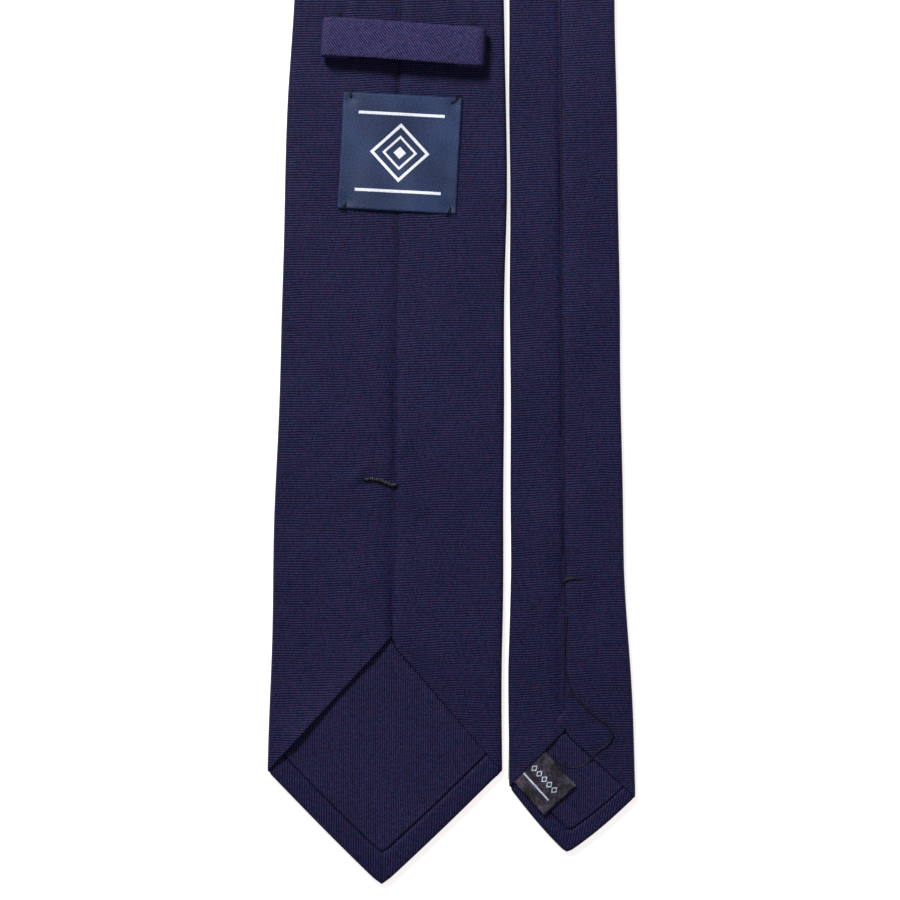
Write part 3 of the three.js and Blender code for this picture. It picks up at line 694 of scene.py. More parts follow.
def make_tube(name, side, lower, upper, steps, lower_turn, upper_turn, lift, to_row=None, sway=None):
    """A tube of cloth with a slit along its back. lower and upper give the height of an end at x for
    a kind, a hand and a share of turn. A turn is (depth on the flaps, depth on the front, cloth
    turned in), or None where the cloth runs on."""
    extra_low = HEM_ROWS if lower_turn else 0
    extra_high = HEM_ROWS if upper_turn else 0
    total = extra_low + len(steps) - 1 + extra_high
    steps = np.asarray(steps)

    def place(s, t):
        i = np.rint(s * COLUMNS).astype(int)
        j = np.rint(t * total).astype(int) - extra_low
        kind, h, f = KIND[i], HAND[i], SHARE[i]
        k = (h > 0).astype(int)
        is_flap, is_roll, is_front = kind == "flap", kind == "roll", kind == "front"
        # A roll turns from 0 on the back to 180 degrees on the front.
        theta = np.where(is_roll, (1 - f) * math.pi, 0)
        frontness = np.where(is_roll, (1 - np.cos(theta)) / 2, np.where(is_front, 1.0, 0.0))
        beneath = np.where(kind == "under", f, 0)
        turned = np.clip(beneath / HEM_BEND, 0, 1) * math.pi
        outward = np.clip((beneath - HEM_BEND) / 0.4, 0, 1) * TURN_UNDER
        reach = np.where(is_flap, f, 0)

        def across(y):
            left, right = side.edge(0, y) + EDGE_ROLL, side.edge(1, y) - EDGE_ROLL
            inner = np.where(k, right, left)
            slit = SEAM_SLIT * (1 + 0.4 * wave(0 * y, y, 9, 45 * MM))
            lip = side.seam(y) + h * (slit / 2 + TURN)
            ridge = side.ridge(y)
            front = np.where(
                f < 0.5, left + 2 * f * (ridge - left), ridge + (2 * f - 1) * (right - ridge)
            )
            x = np.where(is_flap, inner + reach * (lip - inner), inner + h * EDGE_ROLL * np.sin(theta))
            # The left flap runs on under the right one, which is turned in.
            x = np.where(kind == "under", lip - h * TURN * np.sin(turned) + h * outward, x)
            run_on = lip + np.interp(beneath, UNDER_AT, UNDER_ACROSS) * MM
            x = np.where((kind == "under") & (h < 0), run_on, x)
            return np.where(is_front, front, x)

        def settle(end):
            y = end(across(np.full(s.shape, side_middle)), frontness, h)
            for _ in range(3):
                y = end(across(y), frontness, h)
            return y

        side_middle = 0.0 if isinstance(side, Strip) else side.tip[1] + 60 * MM
        apex_y = -1.0 if isinstance(side, Strip) else side.apex
        y_low, y_high = settle(lower), settle(upper)
        body = np.clip(j, 0, len(steps) - 1)
        y = y_low + (y_high - y_low) * steps[body]
        depth, shift = np.zeros(s.shape), np.zeros(s.shape)
        for turn, past, sign in ((lower_turn, -j, -1), (upper_turn, j - (len(steps) - 1), 1)):
            if not turn:
                continue
            on_flap, on_front, width, stretch_of = turn
            stretch = stretch_of(across(y), frontness, h)
            q = np.clip(past, 0, HEM_ROWS) / HEM_ROWS
            bend = np.clip(q / HEM_BEND, 0, 1) * math.pi
            deep = on_flap + (on_front - on_flap) * frontness
            deep = np.where(kind == "under", 0.15 * MM, deep)
            bulge = np.minimum(deep / 2, HEM_ROLL) * stretch
            depth = depth + deep / 2 * (1 - np.cos(bend)) * (q > 0)
            shift = shift + sign * bulge * np.sin(bend)
            shift = shift - sign * np.clip((q - HEM_BEND) / 0.4, 0, 1) * width * stretch
        y = y + shift
        x = across(y)
        z_roll = BACK / 2 * (1 + np.cos(theta))
        z_under = BACK - TURN * (1 - np.cos(turned))
        z_under = np.where(h < 0, BACK - np.interp(beneath, UNDER_AT, UNDER_DOWN) * MM, z_under)
        z = np.where(is_front, 0.0, np.where(is_roll, z_roll, np.where(is_flap, BACK, z_under)))
        inward_x = np.where(is_roll, -h * np.sin(theta), 0.0)
        inward_z = np.where(is_front, 1.0, np.where(is_roll, -np.cos(theta), -1.0))
        if sway is not None:
            x = x + sway(y, h) * np.where(is_roll, 1.0, np.where(is_flap, 1 - f, 0.0))
        z = z + inward_z * depth
        z = z + lift(x, y, h) * (1 - frontness)
        # The back rests on the tipping, which lies lower above the apex.
        low_back = ease((y - apex_y - 2 * MM) / (4 * MM))
        rest = np.where(kind == "under", LOWEST_UNDER, LOWEST_FLAP) - LOWER_ON_TIPPING * low_back
        on_back = is_flap | (kind == "under")
        z = np.where(on_back, np.maximum(z, rest * MM), z)
        x = x + inward_x * np.minimum(depth, DEEPEST_CORNER)
        points = np.stack([x, y, np.maximum(z, 0)], 1)
        # The weave runs on round the folded edges, and is mirrored in the hem.
        aside = x - side.seam(y)
        drift = 0.25 * wave(x, y, 5, 60 * MM) + 0.1 * wave(x, y, 6, 11 * MM)
        drift = drift + 0.8 * h * near(aside, 12 * MM) * (frontness < 0.5)
        weave = np.stack([x + frontness * 0.7, y + drift * MM], 1)
        if isinstance(side, Side) and lower_turn:
            hemmed = (j < -0.5 * HEM_ROWS) & (frontness > 0.5)
            hand = np.where(is_front, np.where(f < 0.5, -1, 1), h)
            slope, _ = side.lean(x, (hand > 0).astype(int))
            turn_to = 2 * np.arctan(slope) * hand
            rx = x * np.cos(turn_to) + y * np.sin(turn_to)
            ry = x * np.sin(turn_to) - y * np.cos(turn_to)
            weave = np.where(hemmed[:, None], np.stack([rx, ry], 1), weave)
        if to_row is not None:
            points = to_row(points)
        return points, weave

    return grid_piece(name, COLUMNS, total, place, SILK, flip=True)


def plain_stretch(x, frontness, h):
    return np.full(x.shape, math.sqrt(2))


def slanting(x0, y0, slant):
    """An end cut at 45 degrees through a point."""
    return lambda x, frontness, h: y0 + slant * (x - x0)


def tip_end(side):
    """The pointed lower end: the V on the front and the flaps' diagonals on the back."""

    def end(x, frontness, h):
        _, stretch = side.lean(x)
        low = side.vee(x, HEM_ROLL)
        high, long = side.diagonal(x, h)
        high = high + TURN * long
        return high * (1 - frontness) + low * frontness

    def stretch(x, frontness, h):
        _, on_front = side.lean(x)
        _, on_flap = side.diagonal(x, h)
        return on_flap * (1 - frontness) + on_front * frontness

    return end, stretch


def steps_between(near_tip, far, fine, coarse, reach):
    """Shares of a side's length, `fine` apart for the first `reach` and `coarse` apart after it."""
    length = far - near_tip
    low = np.arange(0, min(reach, length), fine)
    high = np.linspace(low[-1] + fine, length, max(2, int((length - low[-1]) / coarse)))
    return np.concatenate([low, high]) / length


WIDE_SIDE = Side(("wide_blade_shell", "neck_shell_wide_side"), WIDE)
NARROW_SIDE = Side(("narrow_blade_shell", "neck_shell_narrow_side"), NARROW)
NECK_HALF = (BRIDGE_HIGH[1] - BRIDGE_LOW[1]) / 2
CREASE_Y = (BRIDGE_HIGH[1] + BRIDGE_LOW[1]) / 2
WIDE_CREASE_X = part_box("neck_shell_wide_side")[1][0] - NECK_HALF
NARROW_CREASE_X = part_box("neck_shell_narrow_side")[0][0] + NECK_HALF


def middle_of(node):
    low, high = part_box(node)
    return (low[0] + high[0]) / 2, (low[1] + high[1]) / 2


def far_line(x, y, a, b):
    """Distance from the line through points a and b, positive to its left."""
    dx, dy = b[0] - a[0], b[1] - a[1]
    long = math.hypot(dx, dy)
    return ((y - a[1]) * dx - (x - a[0]) * dy) / long


WIDE_TACK = middle_of("wide_bar_tack")
NARROW_TACK = middle_of("narrow_bar_tack")
# Where stitches pull the cloth, in mm: height, across and up from the stitch, width, length, turn.
WIDE_TACK_PUCKERS = (
    (0.75, -8, 1, 3, 2.2, 20),
    (-0.6, -4.5, 1, 2, 1.6, 0),
    (-0.6, 4.5, -1, 2, 1.6, 0),
    (0.6, 8, 12, 3, 5, -20),
)
LOOP_TACKS = ((1.7, -76, 30), (-36, -72, -20))  # across and up in mm, and the turn of the folds there
LOOP_TACK_PUCKERS = ((-0.5, 0, 0, 1.6, 1.6, 0), (0.45, 4, 4.5, 1.6, 4.5, 1), (0.35, -3, 5, 1.6, 4, -1))


def pucker(x, y, at, height, across, up, wide, tall, turn):
    return height * MM * hump(x, y, (at[0] + across * MM, at[1] + up * MM), wide * MM, tall * MM, turn)


def wide_lift(x, y, h):
    """How far the back of the wide side lies above its level: ripples, the seam's dip, the tip's flap."""
    side = WIDE_SIDE
    aside = x - side.seam(y)
    z = 0.28 * MM * wave(x, y, 11, 55 * MM) + 0.07 * MM * wave(x, y, 12, 16 * MM)
    z = z - 0.25 * MM * near(aside, 0.9 * MM) - 0.3 * MM * near(aside, 4 * MM)
    z = z - (h < 0) * 0.45 * MM * near(aside, 1.3 * MM)
    z = z + 0.3 * MM * near(aside - 3.5 * MM, 3.5 * MM) * (h > 0)
    apex = (side.seam(side.apex), side.apex)
    corner = (side.corner_x[0], side.corners[0])
    off_left = far_line(x, y, corner, apex)
    along = np.clip((x - corner[0]) / (apex[0] - corner[0]), 0, 1)
    # The left flap stands up along its diagonal edge, most of all near the corner.
    stand = np.exp(-np.maximum(off_left, 0) / (7 * MM)) * ease(along * 4) * (1 - 0.45 * along)
    z = z + (h < 0) * 2.3 * MM * stand
    z = z + (h > 0) * 0.25 * MM * np.exp(-np.abs(y - side.apex) / (10 * MM))
    for sizes in WIDE_TACK_PUCKERS:
        z = z + pucker(x, y, WIDE_TACK, *sizes)
    below = ease((WIDE_TACK[1] - y) / (30 * MM))
    z = z - 0.4 * MM * (h < 0) * below * near(aside, 3 * MM)
    for tack_x, tack_y, turn in LOOP_TACKS:
        for *sizes, side_turn in LOOP_TACK_PUCKERS:
            z = z + pucker(x, y, (tack_x * MM, tack_y * MM), *sizes, side_turn * turn)
    return z


def narrow_lift(x, y, h):
    """The same for the narrow side, whose left flap runs down under the right one below its tack."""
    side = NARROW_SIDE
    aside = x - side.seam(y)
    z = 0.2 * MM * wave(x, y, 21, 45 * MM) + 0.06 * MM * wave(x, y, 22, 14 * MM)
    z = z - 0.25 * MM * near(aside, 0.8 * MM) - 0.25 * MM * near(aside, 3.5 * MM)
    z = z - (h < 0) * 0.45 * MM * near(aside, 1.2 * MM)
    apex = (side.seam(side.apex), side.apex)
    corner = (side.corner_x[0], side.corners[0])
    off_left = far_line(x, y, corner, apex)
    z = z + (h < 0) * 0.45 * MM * np.exp(-np.maximum(off_left, 0) / (5 * MM))
    tack_x, tack_y = NARROW_TACK
    below = ease((tack_y - y) / (12 * MM))
    z = z + (h > 0) * 0.5 * MM * below * near(aside - 1.5 * MM, 3 * MM)
    z = z - (h < 0) * 0.9 * MM * below * near(aside, 3.4 * MM)
    z = z - 0.7 * MM * hump(x, y, (side.seam(tack_y), tack_y + 4 * MM), 1.8 * MM, 3.5 * MM)
    z = z + 0.5 * MM * hump(x, y, (tack_x + 3.5 * MM, tack_y - 5 * MM), 2.5 * MM, 4 * MM, 15)
    # The loose thread lies on the lower part of the right flap.
    return np.where((h > 0) & (y < tack_y - 9 * MM), np.minimum(z, 0.06 * MM), z)


def sway(seed):
    return lambda y, h: 0.35 * MM * wave(h * 0.05, y, seed, 90 * MM)


def make_sides():
    join_turn = (0.5 * MM, 0.5 * MM, 2 * MM, plain_stretch)
    for name, side, shell, neck_name, neck_shell, join, crease_x, slant, lift, body, seed in (
        ("wide_blade_silk", WIDE_SIDE, "wide_blade_shell", "wide_neck_silk", "neck_shell_wide_side",
         "wide_join_stitch", WIDE_CREASE_X, 1, wide_lift, "wide_blade", 41),
        ("narrow_blade_silk", NARROW_SIDE, "narrow_blade_shell", "narrow_neck_silk",
         "neck_shell_narrow_side", "narrow_join_stitch", NARROW_CREASE_X, -1, narrow_lift,
         "narrow_blade", 42),
    ):
        end, stretch = tip_end(side)
        join_x, join_y = middle_of(join)
        joined = slanting(join_x, join_y, slant)
        creased = slanting(crease_x, CREASE_Y, slant)
        steps = steps_between(side.tip[1], join_y, 1.9 * MM, 5 * MM, 330 * MM)
        hem_turn = (2 * TURN, HEM_TOP, side.hem - HEM_ROLL, stretch)
        blade = make_tube(name, side, end, joined, steps, hem_turn, join_turn, lift, sway=sway(seed))
        dress(blade, BLADE_SILK, body, "blade_silk", shell)
        neck_steps = np.linspace(0, 1, max(12, int((CREASE_Y - join_y) / (5 * MM))))
        calm = lambda x, y, h, side=side: (
            0.12 * MM * wave(x, y, 31, 40 * MM) - 0.5 * MM * near(x - side.seam(y), 1.0 * MM)
        )
        neck = make_tube(neck_name, side, joined, creased, neck_steps, join_turn, None, calm)
        dress(neck, BLADE_SILK, body, "blade_silk", neck_shell)


def make_bridge():
    strip = Strip(NECK_HALF)
    length = NARROW_CREASE_X - WIDE_CREASE_X

    def to_row(p):
        return np.stack([WIDE_CREASE_X + p[:, 1], CREASE_Y + p[:, 0], BRIDGE_HIGH[2] - p[:, 2]], 1)

    start = lambda x, frontness, h: x
    stop = lambda x, frontness, h: length - x
    lift = lambda x, y, h: -0.3 * MM * near(x, 1.0 * MM)
    piece = make_tube(
        "bridge_silk", strip, start, stop, np.linspace(0, 1, 14), None, None, lift, to_row=to_row
    )
    dress(piece, BLADE_SILK, "neck_bridge", "blade_silk", "neck_shell_bridge")
    return piece


def make_crease(name, x0, lean, outward):
    """The cloth that turns over at a neck crease, from one strip's layers to the other's."""
    level = BRIDGE_HIGH[2] / 2
    chosen = np.flatnonzero(KIND != "under")
    rows = 14

    def place(s, t):
        i = chosen[np.rint(s * (len(chosen) - 1)).astype(int)]
        kind, h, f = KIND[i], HAND[i], SHARE[i]
        theta = np.where(kind == "roll", (1 - f) * math.pi, 0)
        inner = h * (NECK_HALF - EDGE_ROLL)
        x = np.where(kind == "flap", inner * (1 - f), inner + h * EDGE_ROLL * np.sin(theta))
        x = np.where(kind == "front", (2 * f - 1) * (NECK_HALF - EDGE_ROLL), x)
        z0 = np.where(kind == "front", 0, np.where(kind == "roll", BACK / 2 * (1 + np.cos(theta)), BACK))
        arm = level - z0
        phi = t * math.pi
        bulge = CREASE_BULGE * arm / level * np.sin(phi)
        along = x[:, None] * np.array([[1.0, lean, 0.0]])
        out = bulge[:, None] * np.array([[outward[0], outward[1], 0.0]]) / math.sqrt(2)
        points = np.array([[x0, CREASE_Y, 0.0]]) + along + out
        points[:, 2] = level - arm * np.cos(phi)
        weave = np.stack([points[:, 0] + (kind == "front") * 0.7, points[:, 1] + arm * phi], 1)
        return points, weave

    piece = grid_piece(name, len(chosen) - 1, rows, place, 0.0, flip=True)
    piece.data.materials.append(BLADE_SILK)
    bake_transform(piece)
    return piece


make_sides()
bridge_silk = make_bridge()
wide_crease = make_crease(
    "wide_crease_cloth", WIDE_CREASE_X, 1, (-1, 1)
)
narrow_crease = make_crease(
    "narrow_crease_cloth", NARROW_CREASE_X, -1, (1, 1)
)


# ---------------------------------------------------------------- tippings


def make_tipping(name, side, node, body):
    tuck = 0.45 * MM  # how far the tipping starts under the hem's edge
    rows = 70

    def place(s, t):
        y, middle = np.full(s.shape, side.lining_top), side.tip[0]
        for _ in range(4):
            left, right = side.edge(0, y) + 1.6 * MM, side.edge(1, y) - 1.6 * MM
            x = np.where(s < 0.5, left + 2 * s * (middle - left), middle + (2 * s - 1) * (right - middle))
            bottom = side.vee(x, side.hem - tuck)
            y = bottom + (side.lining_top - bottom) * t**1.6
        _, stretch = side.lean(x)
        inside = (y - bottom) / stretch
        z = HEM_TOP + 0.32 * MM + 0.05 * MM * wave(x, y, 51, 22 * MM)
        z = z + 0.12 * MM * near(inside - 1.3 * MM, 0.7 * MM)
        z = z - 0.5 * MM * ease((y - side.apex) / (4 * MM))
        for hand, depth in ((-1, 0.35), (1, 0.7)):
            edge_y, edge_stretch = side.diagonal(x, np.full(x.shape, hand))
            z = z - depth * MM * near((edge_y - y) / edge_stretch, 0.8 * MM)
        # It comes up from under the hem, which leaves a groove between the two.
        rise = ease((inside - tuck) / (0.6 * MM))
        z = z * rise + (HEM_TOP - 0.58 * MM) * (1 - rise)
        z = z + 0.06 * MM * near(inside - 2.5 * MM, 1.6 * MM) * (1 + wave(x, y, 52, 9 * MM))
        return np.stack([x, y, z], 1), np.stack([y, x + 0.2 * MM * wave(x, y, 53, 30 * MM)], 1)

    piece = grid_piece(name, 60, rows, place, 0.25 * MM)
    dress(piece, TIPPING_SILK, body, "tipping_silk", node)


make_tipping("wide_tipping_cloth", WIDE_SIDE, "wide_tipping", "wide_blade")
make_tipping("narrow_tipping_cloth", NARROW_SIDE, "narrow_tipping", "narrow_blade")


# ---------------------------------------------------------------- label, loop and tag


def framed(node_low, node_high, turn, z):
    """Puts local points about a box's centre in the row frame."""
    cx, cy = (node_low[0] + node_high[0]) / 2, (node_low[1] + node_high[1]) / 2
    c, s = math.cos(math.radians(turn)), math.sin(math.radians(turn))

    def to_row(x, y, up):
        return np.stack([cx + c * x - s * y, cy + s * x + c * y, z + up], 1)

    return to_row


LABEL_LOW, LABEL_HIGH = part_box("back_label")
LABEL_TURN, LABEL_SIZE = -3.0, (40.6 * MM, 40 * MM)
LABEL_TACK_INSET = 2.4 * MM
LABEL_TO_ROW = framed(LABEL_LOW, LABEL_HIGH, LABEL_TURN, LABEL_LOW[2])


def label_height(x, y):
    bow = 0.25 * MM + 0.16 * MM * wave(x, y, 61, 24 * MM)
    for sx in (-1, 1):
        for sy in (-1, 1):
            at = [s * (size / 2 - LABEL_TACK_INSET) for s, size in zip((sx, sy), LABEL_SIZE)]
            bow = bow - 0.35 * MM * hump(x, y, at, 2.2 * MM, 2.2 * MM)
    return bow + 0.3 * MM


def make_label():
    def place(s, t):
        x = (s - 0.5) * LABEL_SIZE[0]
        y = (t - 0.5) * LABEL_SIZE[1]
        x = x * (1 - 0.006 * np.cos(math.pi * (t - 0.5)))
        z = label_height(x, y)
        # Both cut ends are folded under, so those edges are round.
        end = np.minimum(LABEL_SIZE[1] / 2 - np.abs(y), 0.5 * MM) / (0.5 * MM)
        z = z - 0.35 * MM * (1 - np.sqrt(np.clip(1 - (1 - end) ** 2, 0, 1)))
        return LABEL_TO_ROW(x, y, z), np.stack([s, t], 1)

    piece = grid_piece("back_label_satin", 64, 96, place, 0.3 * MM)
    dress(piece, LABEL, "wide_blade", "label_satin", "back_label")


def strands(name, paths, diameter, material, body, *nodes):
    return dress(thread_piece(name, paths, diameter), material, body, "thread", *nodes)


def make_label_tacks():
    for word_y, sy in (("upper", 1), ("lower", -1)):
        for word_x, sx in (("left", -1), ("right", 1)):
            x0, y0 = [s * (size / 2 - LABEL_TACK_INSET) for s, size in zip((sx, sy), LABEL_SIZE)]
            paths = []
            lean = -2.4 if (sx, sy) == (1, 1) else 0.6
            for shift in (-0.22, 0.22):
                flat = [(-0.5, 3.4), (-0.4, 2.6), (0, 1.3 + shift), (0.4, 0.6), (0.5, 0.2)]
                rise = (-0.7, 0.1, 0.45, 0.35, -0.2)
                points = LABEL_TO_ROW(
                    np.array([x0 + (lean * p[0] + 3 * shift * (p[1] - 0.6) / 2.4) * MM for p in flat]),
                    np.array([y0 + sy * p[1] * MM for p in flat]),
                    np.array([0.45 * MM + up * MM for up in rise]),
                )
                paths.append([tuple(p) for p in points])
            strands(
                f"label_stitch_{word_y}_{word_x}", paths, 0.38 * MM, THREAD, "wide_blade",
                f"label_tack_{word_y}_{word_x}",
            )


LOOP_TURN = -3.9
LOOP_LOW, LOOP_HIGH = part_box("keeper_loop")
LOOP_LENGTH, LOOP_WIDTH, LOOP_BAND = 56 * MM, 13.0 * MM, 0.9 * MM
LOOP_TOP = LOOP_HIGH[2] - LOOP_LOW[2]
LOOP_SHIFT = Vector((-0.5 * MM, -1.8 * MM, 0))  # the band sags towards the tip


def make_loop():
    to_row = framed(LOOP_LOW + LOOP_SHIFT, LOOP_HIGH + LOOP_SHIFT, LOOP_TURN, LOOP_LOW[2])
    radius = (LOOP_TOP - LOOP_BAND) / 2
    straight = LOOP_LENGTH - 2 * radius - LOOP_BAND
    under = 9 * MM - radius
    bend = math.pi * radius
    total = 2 * under + 2 * bend + straight
    rows, columns = 20, 220

    def place(s, t):
        # s runs along the band from one turned-under end to the other, t round its section.
        a = s * total
        x_end = straight / 2
        legs = [
            a < under,
            a < under + bend,
            a < under + bend + straight,
            a < under + 2 * bend + straight,
        ]
        turn_left = (a - under) / radius
        turn_right = (a - under - bend - straight) / radius
        x = np.select(
            legs,
            [-x_end + (under - a), -x_end - radius * np.sin(turn_left), -x_end + (a - under - bend),
             x_end + radius * np.sin(turn_right)],
            x_end - (a - under - 2 * bend - straight),
        )
        z = np.select(
            legs,
            [0 * a, radius * (1 - np.cos(turn_left)), 2 * radius + 0 * a,
             radius * (1 + np.cos(turn_right))],
            0.0,
        )
        nx = np.select(legs, [0 * a, -np.sin(turn_left), 0 * a, np.sin(turn_right)], 0.0)
        nz = np.select(legs, [-1 + 0 * a, -np.cos(turn_left), 1 + 0 * a, np.cos(turn_right)], -1.0)
        phi = t * 2 * math.pi
        edge = np.sign(np.cos(phi)) * np.abs(np.cos(phi)) ** 0.25
        face = np.sign(np.sin(phi)) * np.abs(np.sin(phi)) ** 0.9
        close = np.sqrt(np.clip(1 - (np.abs(s - 0.5) * 2) ** 160, 0, 1))
        thick = LOOP_BAND / 2 * face * close
        y = LOOP_WIDTH / 2 * edge * (0.97 + 0.03 * close)
        y = y + 0.12 * MM * wave(x, 0 * x, 71, 30 * MM)
        top = nz > 0.5
        sag = 0.22 * MM * wave(x, y, 72, 18 * MM) * top
        px = x + nx * thick
        pz = z + LOOP_BAND / 2 + nz * thick + sag
        slope = math.radians(50)
        u = a * math.cos(slope) - y * math.sin(slope)
        v = a * math.sin(slope) + y * math.cos(slope) + (face < 0) * 0.3
        return to_row(px, y, pz), np.stack([u, v], 1)

    piece = grid_piece("keeper_loop_silk", columns, rows, place, close=True)
    dress(piece, KEEPER_SILK, "keeper_loop", "loop_silk", "keeper_loop")


def make_loop_tacks():
    for word in ("left", "right"):
        node = f"loop_tack_{word}"
        low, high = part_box(node)
        cx, cy, cz = [(a + b) / 2 for a, b in zip(low, high)]
        paths = []
        for x, y in ((-0.75, -0.9), (0.1, -1.1), (0.8, -0.8)):
            paths.append(
                [(cx, cy + 0.55 * MM, cz - 0.3 * MM), (cx + x * 0.3 * MM, cy + 0.2 * MM, cz + 0.2 * MM),
                 (cx + x * 0.8 * MM, cy + y * 0.6 * MM, cz + 0.3 * MM), (cx + x * MM, cy + y * MM, cz)]
            )
        strands(f"loop_stitch_{word}", paths, 0.2 * MM, THREAD, "wide_blade", node)


def make_wide_tack():
    """A wound bar: many turns of thread round a core, bowed and pulled into the cloth at both ends."""
    low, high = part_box("wide_bar_tack")
    z = (low[2] + high[2]) / 2 + 0.1 * MM
    route = [(1.2, 0.9), (4.0, 1.05), (7.0, 0.35), (9.6, -0.8), (11.6, -1.0)]
    route = [Vector((low[0] + x * MM, (low[1] + high[1]) / 2 + y * MM, z)) for x, y in route]

    def along(share):
        place = min(share, 0.9999) * (len(route) - 1)
        k = int(place)
        before, after = route[max(k - 1, 0)], route[min(k + 2, len(route) - 1)]
        t = place - k
        a, b = route[k], route[k + 1]
        slope_a, slope_b = (b - before) / 2, (after - a) / 2
        return (
            a * (2 * t**3 - 3 * t**2 + 1) + b * (3 * t**2 - 2 * t**3)
            + slope_a * (t**3 - 2 * t**2 + t) + slope_b * (t**3 - t**2)
        )

    turns, steps = 19, 14
    wound = []
    for i in range(turns * steps + 1):
        share = i / (turns * steps)
        angle = 2 * math.pi * share * turns
        swell = 0.46 * MM * (0.8 + 0.2 * math.sin(math.pi * share) + 0.12 * math.sin(5 * angle / 7))
        ahead = (along(min(share + 0.01, 1)) - along(max(share - 0.01, 0))).normalized()
        aside = Vector((-ahead.y, ahead.x, 0))
        up = Vector((0, 0, swell * math.sin(angle)))
        wound.append(tuple(along(share) + aside * swell * math.cos(angle) + up))
    core = [tuple(along(k / 8)) for k in range(9)]
    sunk = [tuple(route[0] + Vector((-0.5 * MM, -0.1 * MM, -0.9 * MM)))]
    sunk_end = [tuple(route[-1] + Vector((0.3 * MM, 0.25 * MM, -0.9 * MM)))]
    strands("wide_bar_core", [sunk + core + sunk_end], 0.85 * MM, THREAD, "wide_blade", "wide_bar_tack")
    # The winding's pale specks are painted highlights.
    strands("wide_bar_winding", [wound], 0.33 * MM, GLINT_PAINTED_THREAD, "wide_blade")


def make_narrow_tack():
    low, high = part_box("narrow_bar_tack")
    z = (low[2] + high[2]) / 2
    base = (low[1] + high[1]) / 2 - 0.6 * MM
    paths = []
    for shift in (-0.18, 0.18):
        path = []
        for share in np.linspace(0, 1, 9):
            bow = math.sin(math.pi * share)
            path.append(
                (low[0] + (high[0] - low[0]) * share, base + (1.05 * bow + shift - 0.3) * MM,
                 z + (0.5 * bow - 0.35) * MM)
            )
        paths.append(path)
    strands("narrow_bar_threads", paths, 0.42 * MM, THREAD, "narrow_blade", "narrow_bar_tack")


TAG_JOINT = next(joint for joint in frame["joints"] if joint["name"] == "tag_lift")
TAG_SIZE = (14.9 * MM, 17.3 * MM)


def make_tag():
    """A ribbon doubled at its free end, with its raw ends tucked under the flap."""
    along = -Vector(TAG_JOINT["axis"]).normalized()
    down = Vector((along.y, -along.x, 0))
    hinge = Vector((*TAG_JOINT["pos_m"][:2], HEM_TOP + 0.85 * MM))
    hinge += along * 0.35 * MM
    width, length = TAG_SIZE
    lift, radius = math.radians(5), 0.32 * MM
    tucked = 0.4 * MM  # past the hinge, under the flap
    leg = length - radius + tucked
    total = 2 * leg + math.pi * radius

    def place(s, t):
        a = t * total
        first, bend = a < leg, (a >= leg) & (a < leg + math.pi * radius)
        turn = (a - leg) / radius
        reach = np.where(first, a, np.where(bend, leg + radius * np.sin(turn), total - a)) - tucked
        drop = np.where(first, 0, np.where(bend, radius * (1 - np.cos(turn)), 2 * radius))
        drop = drop * (0.45 + 0.55 * ease(reach / (3 * MM)))
        across = (s - 0.5) * width
        curl = 0.5 * MM * np.sin(math.pi * np.clip(reach / length, 0, 1)) ** 2
        curl = curl + 0.12 * MM * wave(across, reach, 81, 12 * MM)
        up = np.sin(lift) * np.maximum(reach, 0) * 0.55 + curl * 0.5 - drop
        up = up - 0.55 * MM * (1 - ease((reach + tucked) / (2.2 * MM)))
        x = hinge.x + along.x * across + down.x * reach
        y = hinge.y + along.y * across + down.y * reach
        return np.stack([x, y, hinge.z + up], 1), np.stack([across, a], 1)

    piece = grid_piece("care_tag_ribbon", 32, 90, place, 0.22 * MM, flip=True)
    dress(piece, TAG, "care_tag", "tag_satin", "care_tag")
    # A few loose ends at the ribbon's cut corner.
    corner = hinge + along * (width / 2) + down * (length * 0.93)
    corner.z += 0.9 * MM
    draw = np.random.default_rng(82)
    paths = []
    for _ in range(7):
        turn = draw.uniform(-0.6, 1.2)
        step = (along * math.cos(turn) + down * math.sin(turn)) * draw.uniform(0.3, 0.8) * MM
        base = corner - along * 0.4 * MM + down * draw.uniform(-0.8, 0.8) * MM
        end = base + step * 1.2 + Vector((0, 0, 0.2 * MM))
        paths.append([tuple(base), tuple(base + step * 0.5), tuple(base + step), tuple(end)])
    strands("care_tag_fray", paths, 0.07 * MM, PALE_THREAD, "care_tag")


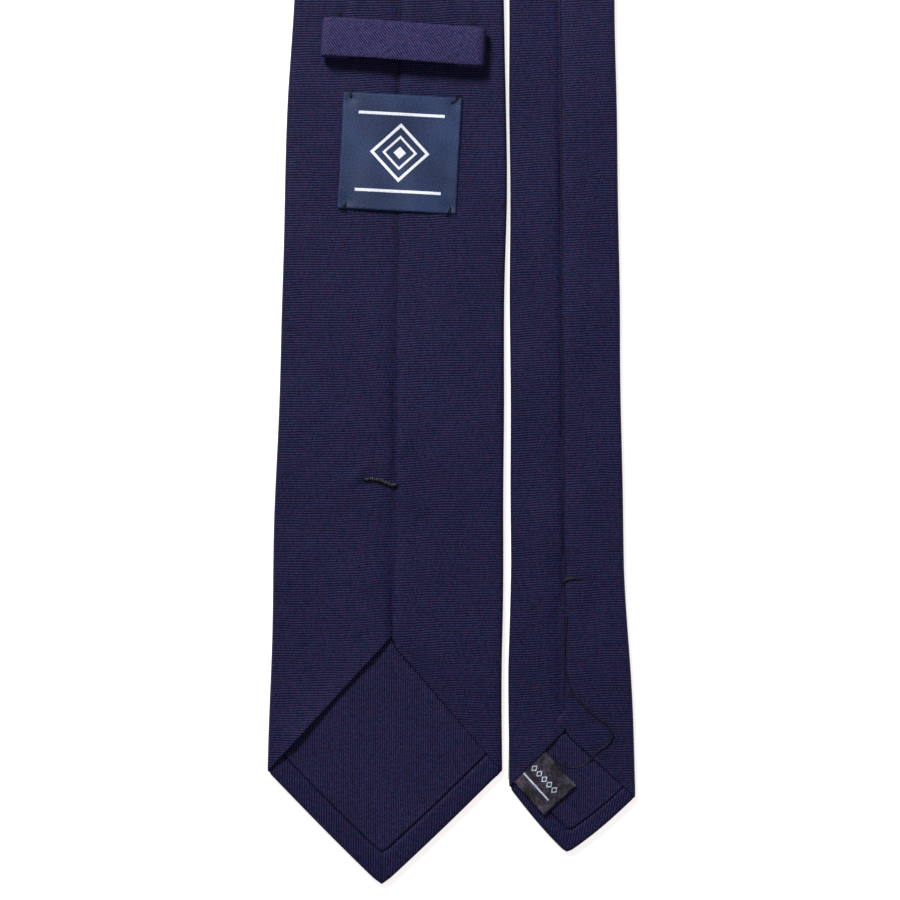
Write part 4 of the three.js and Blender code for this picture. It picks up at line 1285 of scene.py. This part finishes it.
PALE_THREAD = fibre_material("pale thread", (0.12, 0.11, 0.12), (0.4, 0.38, 0.38), 3000, 0.6)
make_label()
make_label_tacks()
make_loop()
make_loop_tacks()
make_wide_tack()
make_narrow_tack()
make_tag()


# ---------------------------------------------------------------- what shows of the CAD, and the studio


def finish_cad_nodes():
    for node, piece in frame["nodes"].items():
        if piece.hide_render:
            continue
        material = WOOL if "interlining" in node else THREAD
        for place in piece.material_slots:
            place.material = material
        if not piece.material_slots:
            piece.data.materials.append(material)


def make_studio():
    material, tree, surface, w = shader("floor paper", specular=0.1)
    grain = w.noise(tree.nodes.new("ShaderNodeTexCoord").outputs["Object"], 30, 3)
    paper = w.mix(grain, (0.6, 0.59, 0.59, 1), (0.63, 0.625, 0.625, 1))
    tree.links.new(paper, surface.inputs["Base Color"])
    surface.inputs["Roughness"].default_value = 0.9
    surface.inputs["Emission Color"].default_value = (1, 0.962, 0.95, 1)
    surface.inputs["Emission Strength"].default_value = 0.75
    bm = bmesh.new()
    bmesh.ops.create_grid(bm, x_segments=4, y_segments=4, size=4)
    for v in bm.verts:
        v.co.z = -0.2 * MM
    floor = finish_piece(bm, "floor")
    floor.data.materials.append(material)
    world = bpy.data.worlds.new("room")
    world.use_nodes = True
    world.node_tree.nodes["Background"].inputs[0].default_value = (1, 1, 1, 1)
    world.node_tree.nodes["Background"].inputs[1].default_value = 0.27
    bpy.context.scene.world = world
    for name, place, size, power in (
        ("key", (-0.38, 0.78, 0.82), 0.32, 17.5),
        ("fill", (0.3, -0.2, 1.5), 0.9, 2.0),
    ):
        light = bpy.data.lights.new(name, "AREA")
        light.shape = "DISK"
        light.size = size
        light.energy = power
        lamp = bpy.data.objects.new(name, light)
        target = Vector((0, WIDE_LOW[1] + 0.15, 0))
        lamp.location = target + Vector(place)
        lamp.rotation_euler = (target - lamp.location).to_track_quat("-Z", "Y").to_euler()
        bpy.context.scene.collection.objects.link(lamp)
    bpy.context.scene.view_settings.view_transform = "Standard"


finish_cad_nodes()
make_studio()
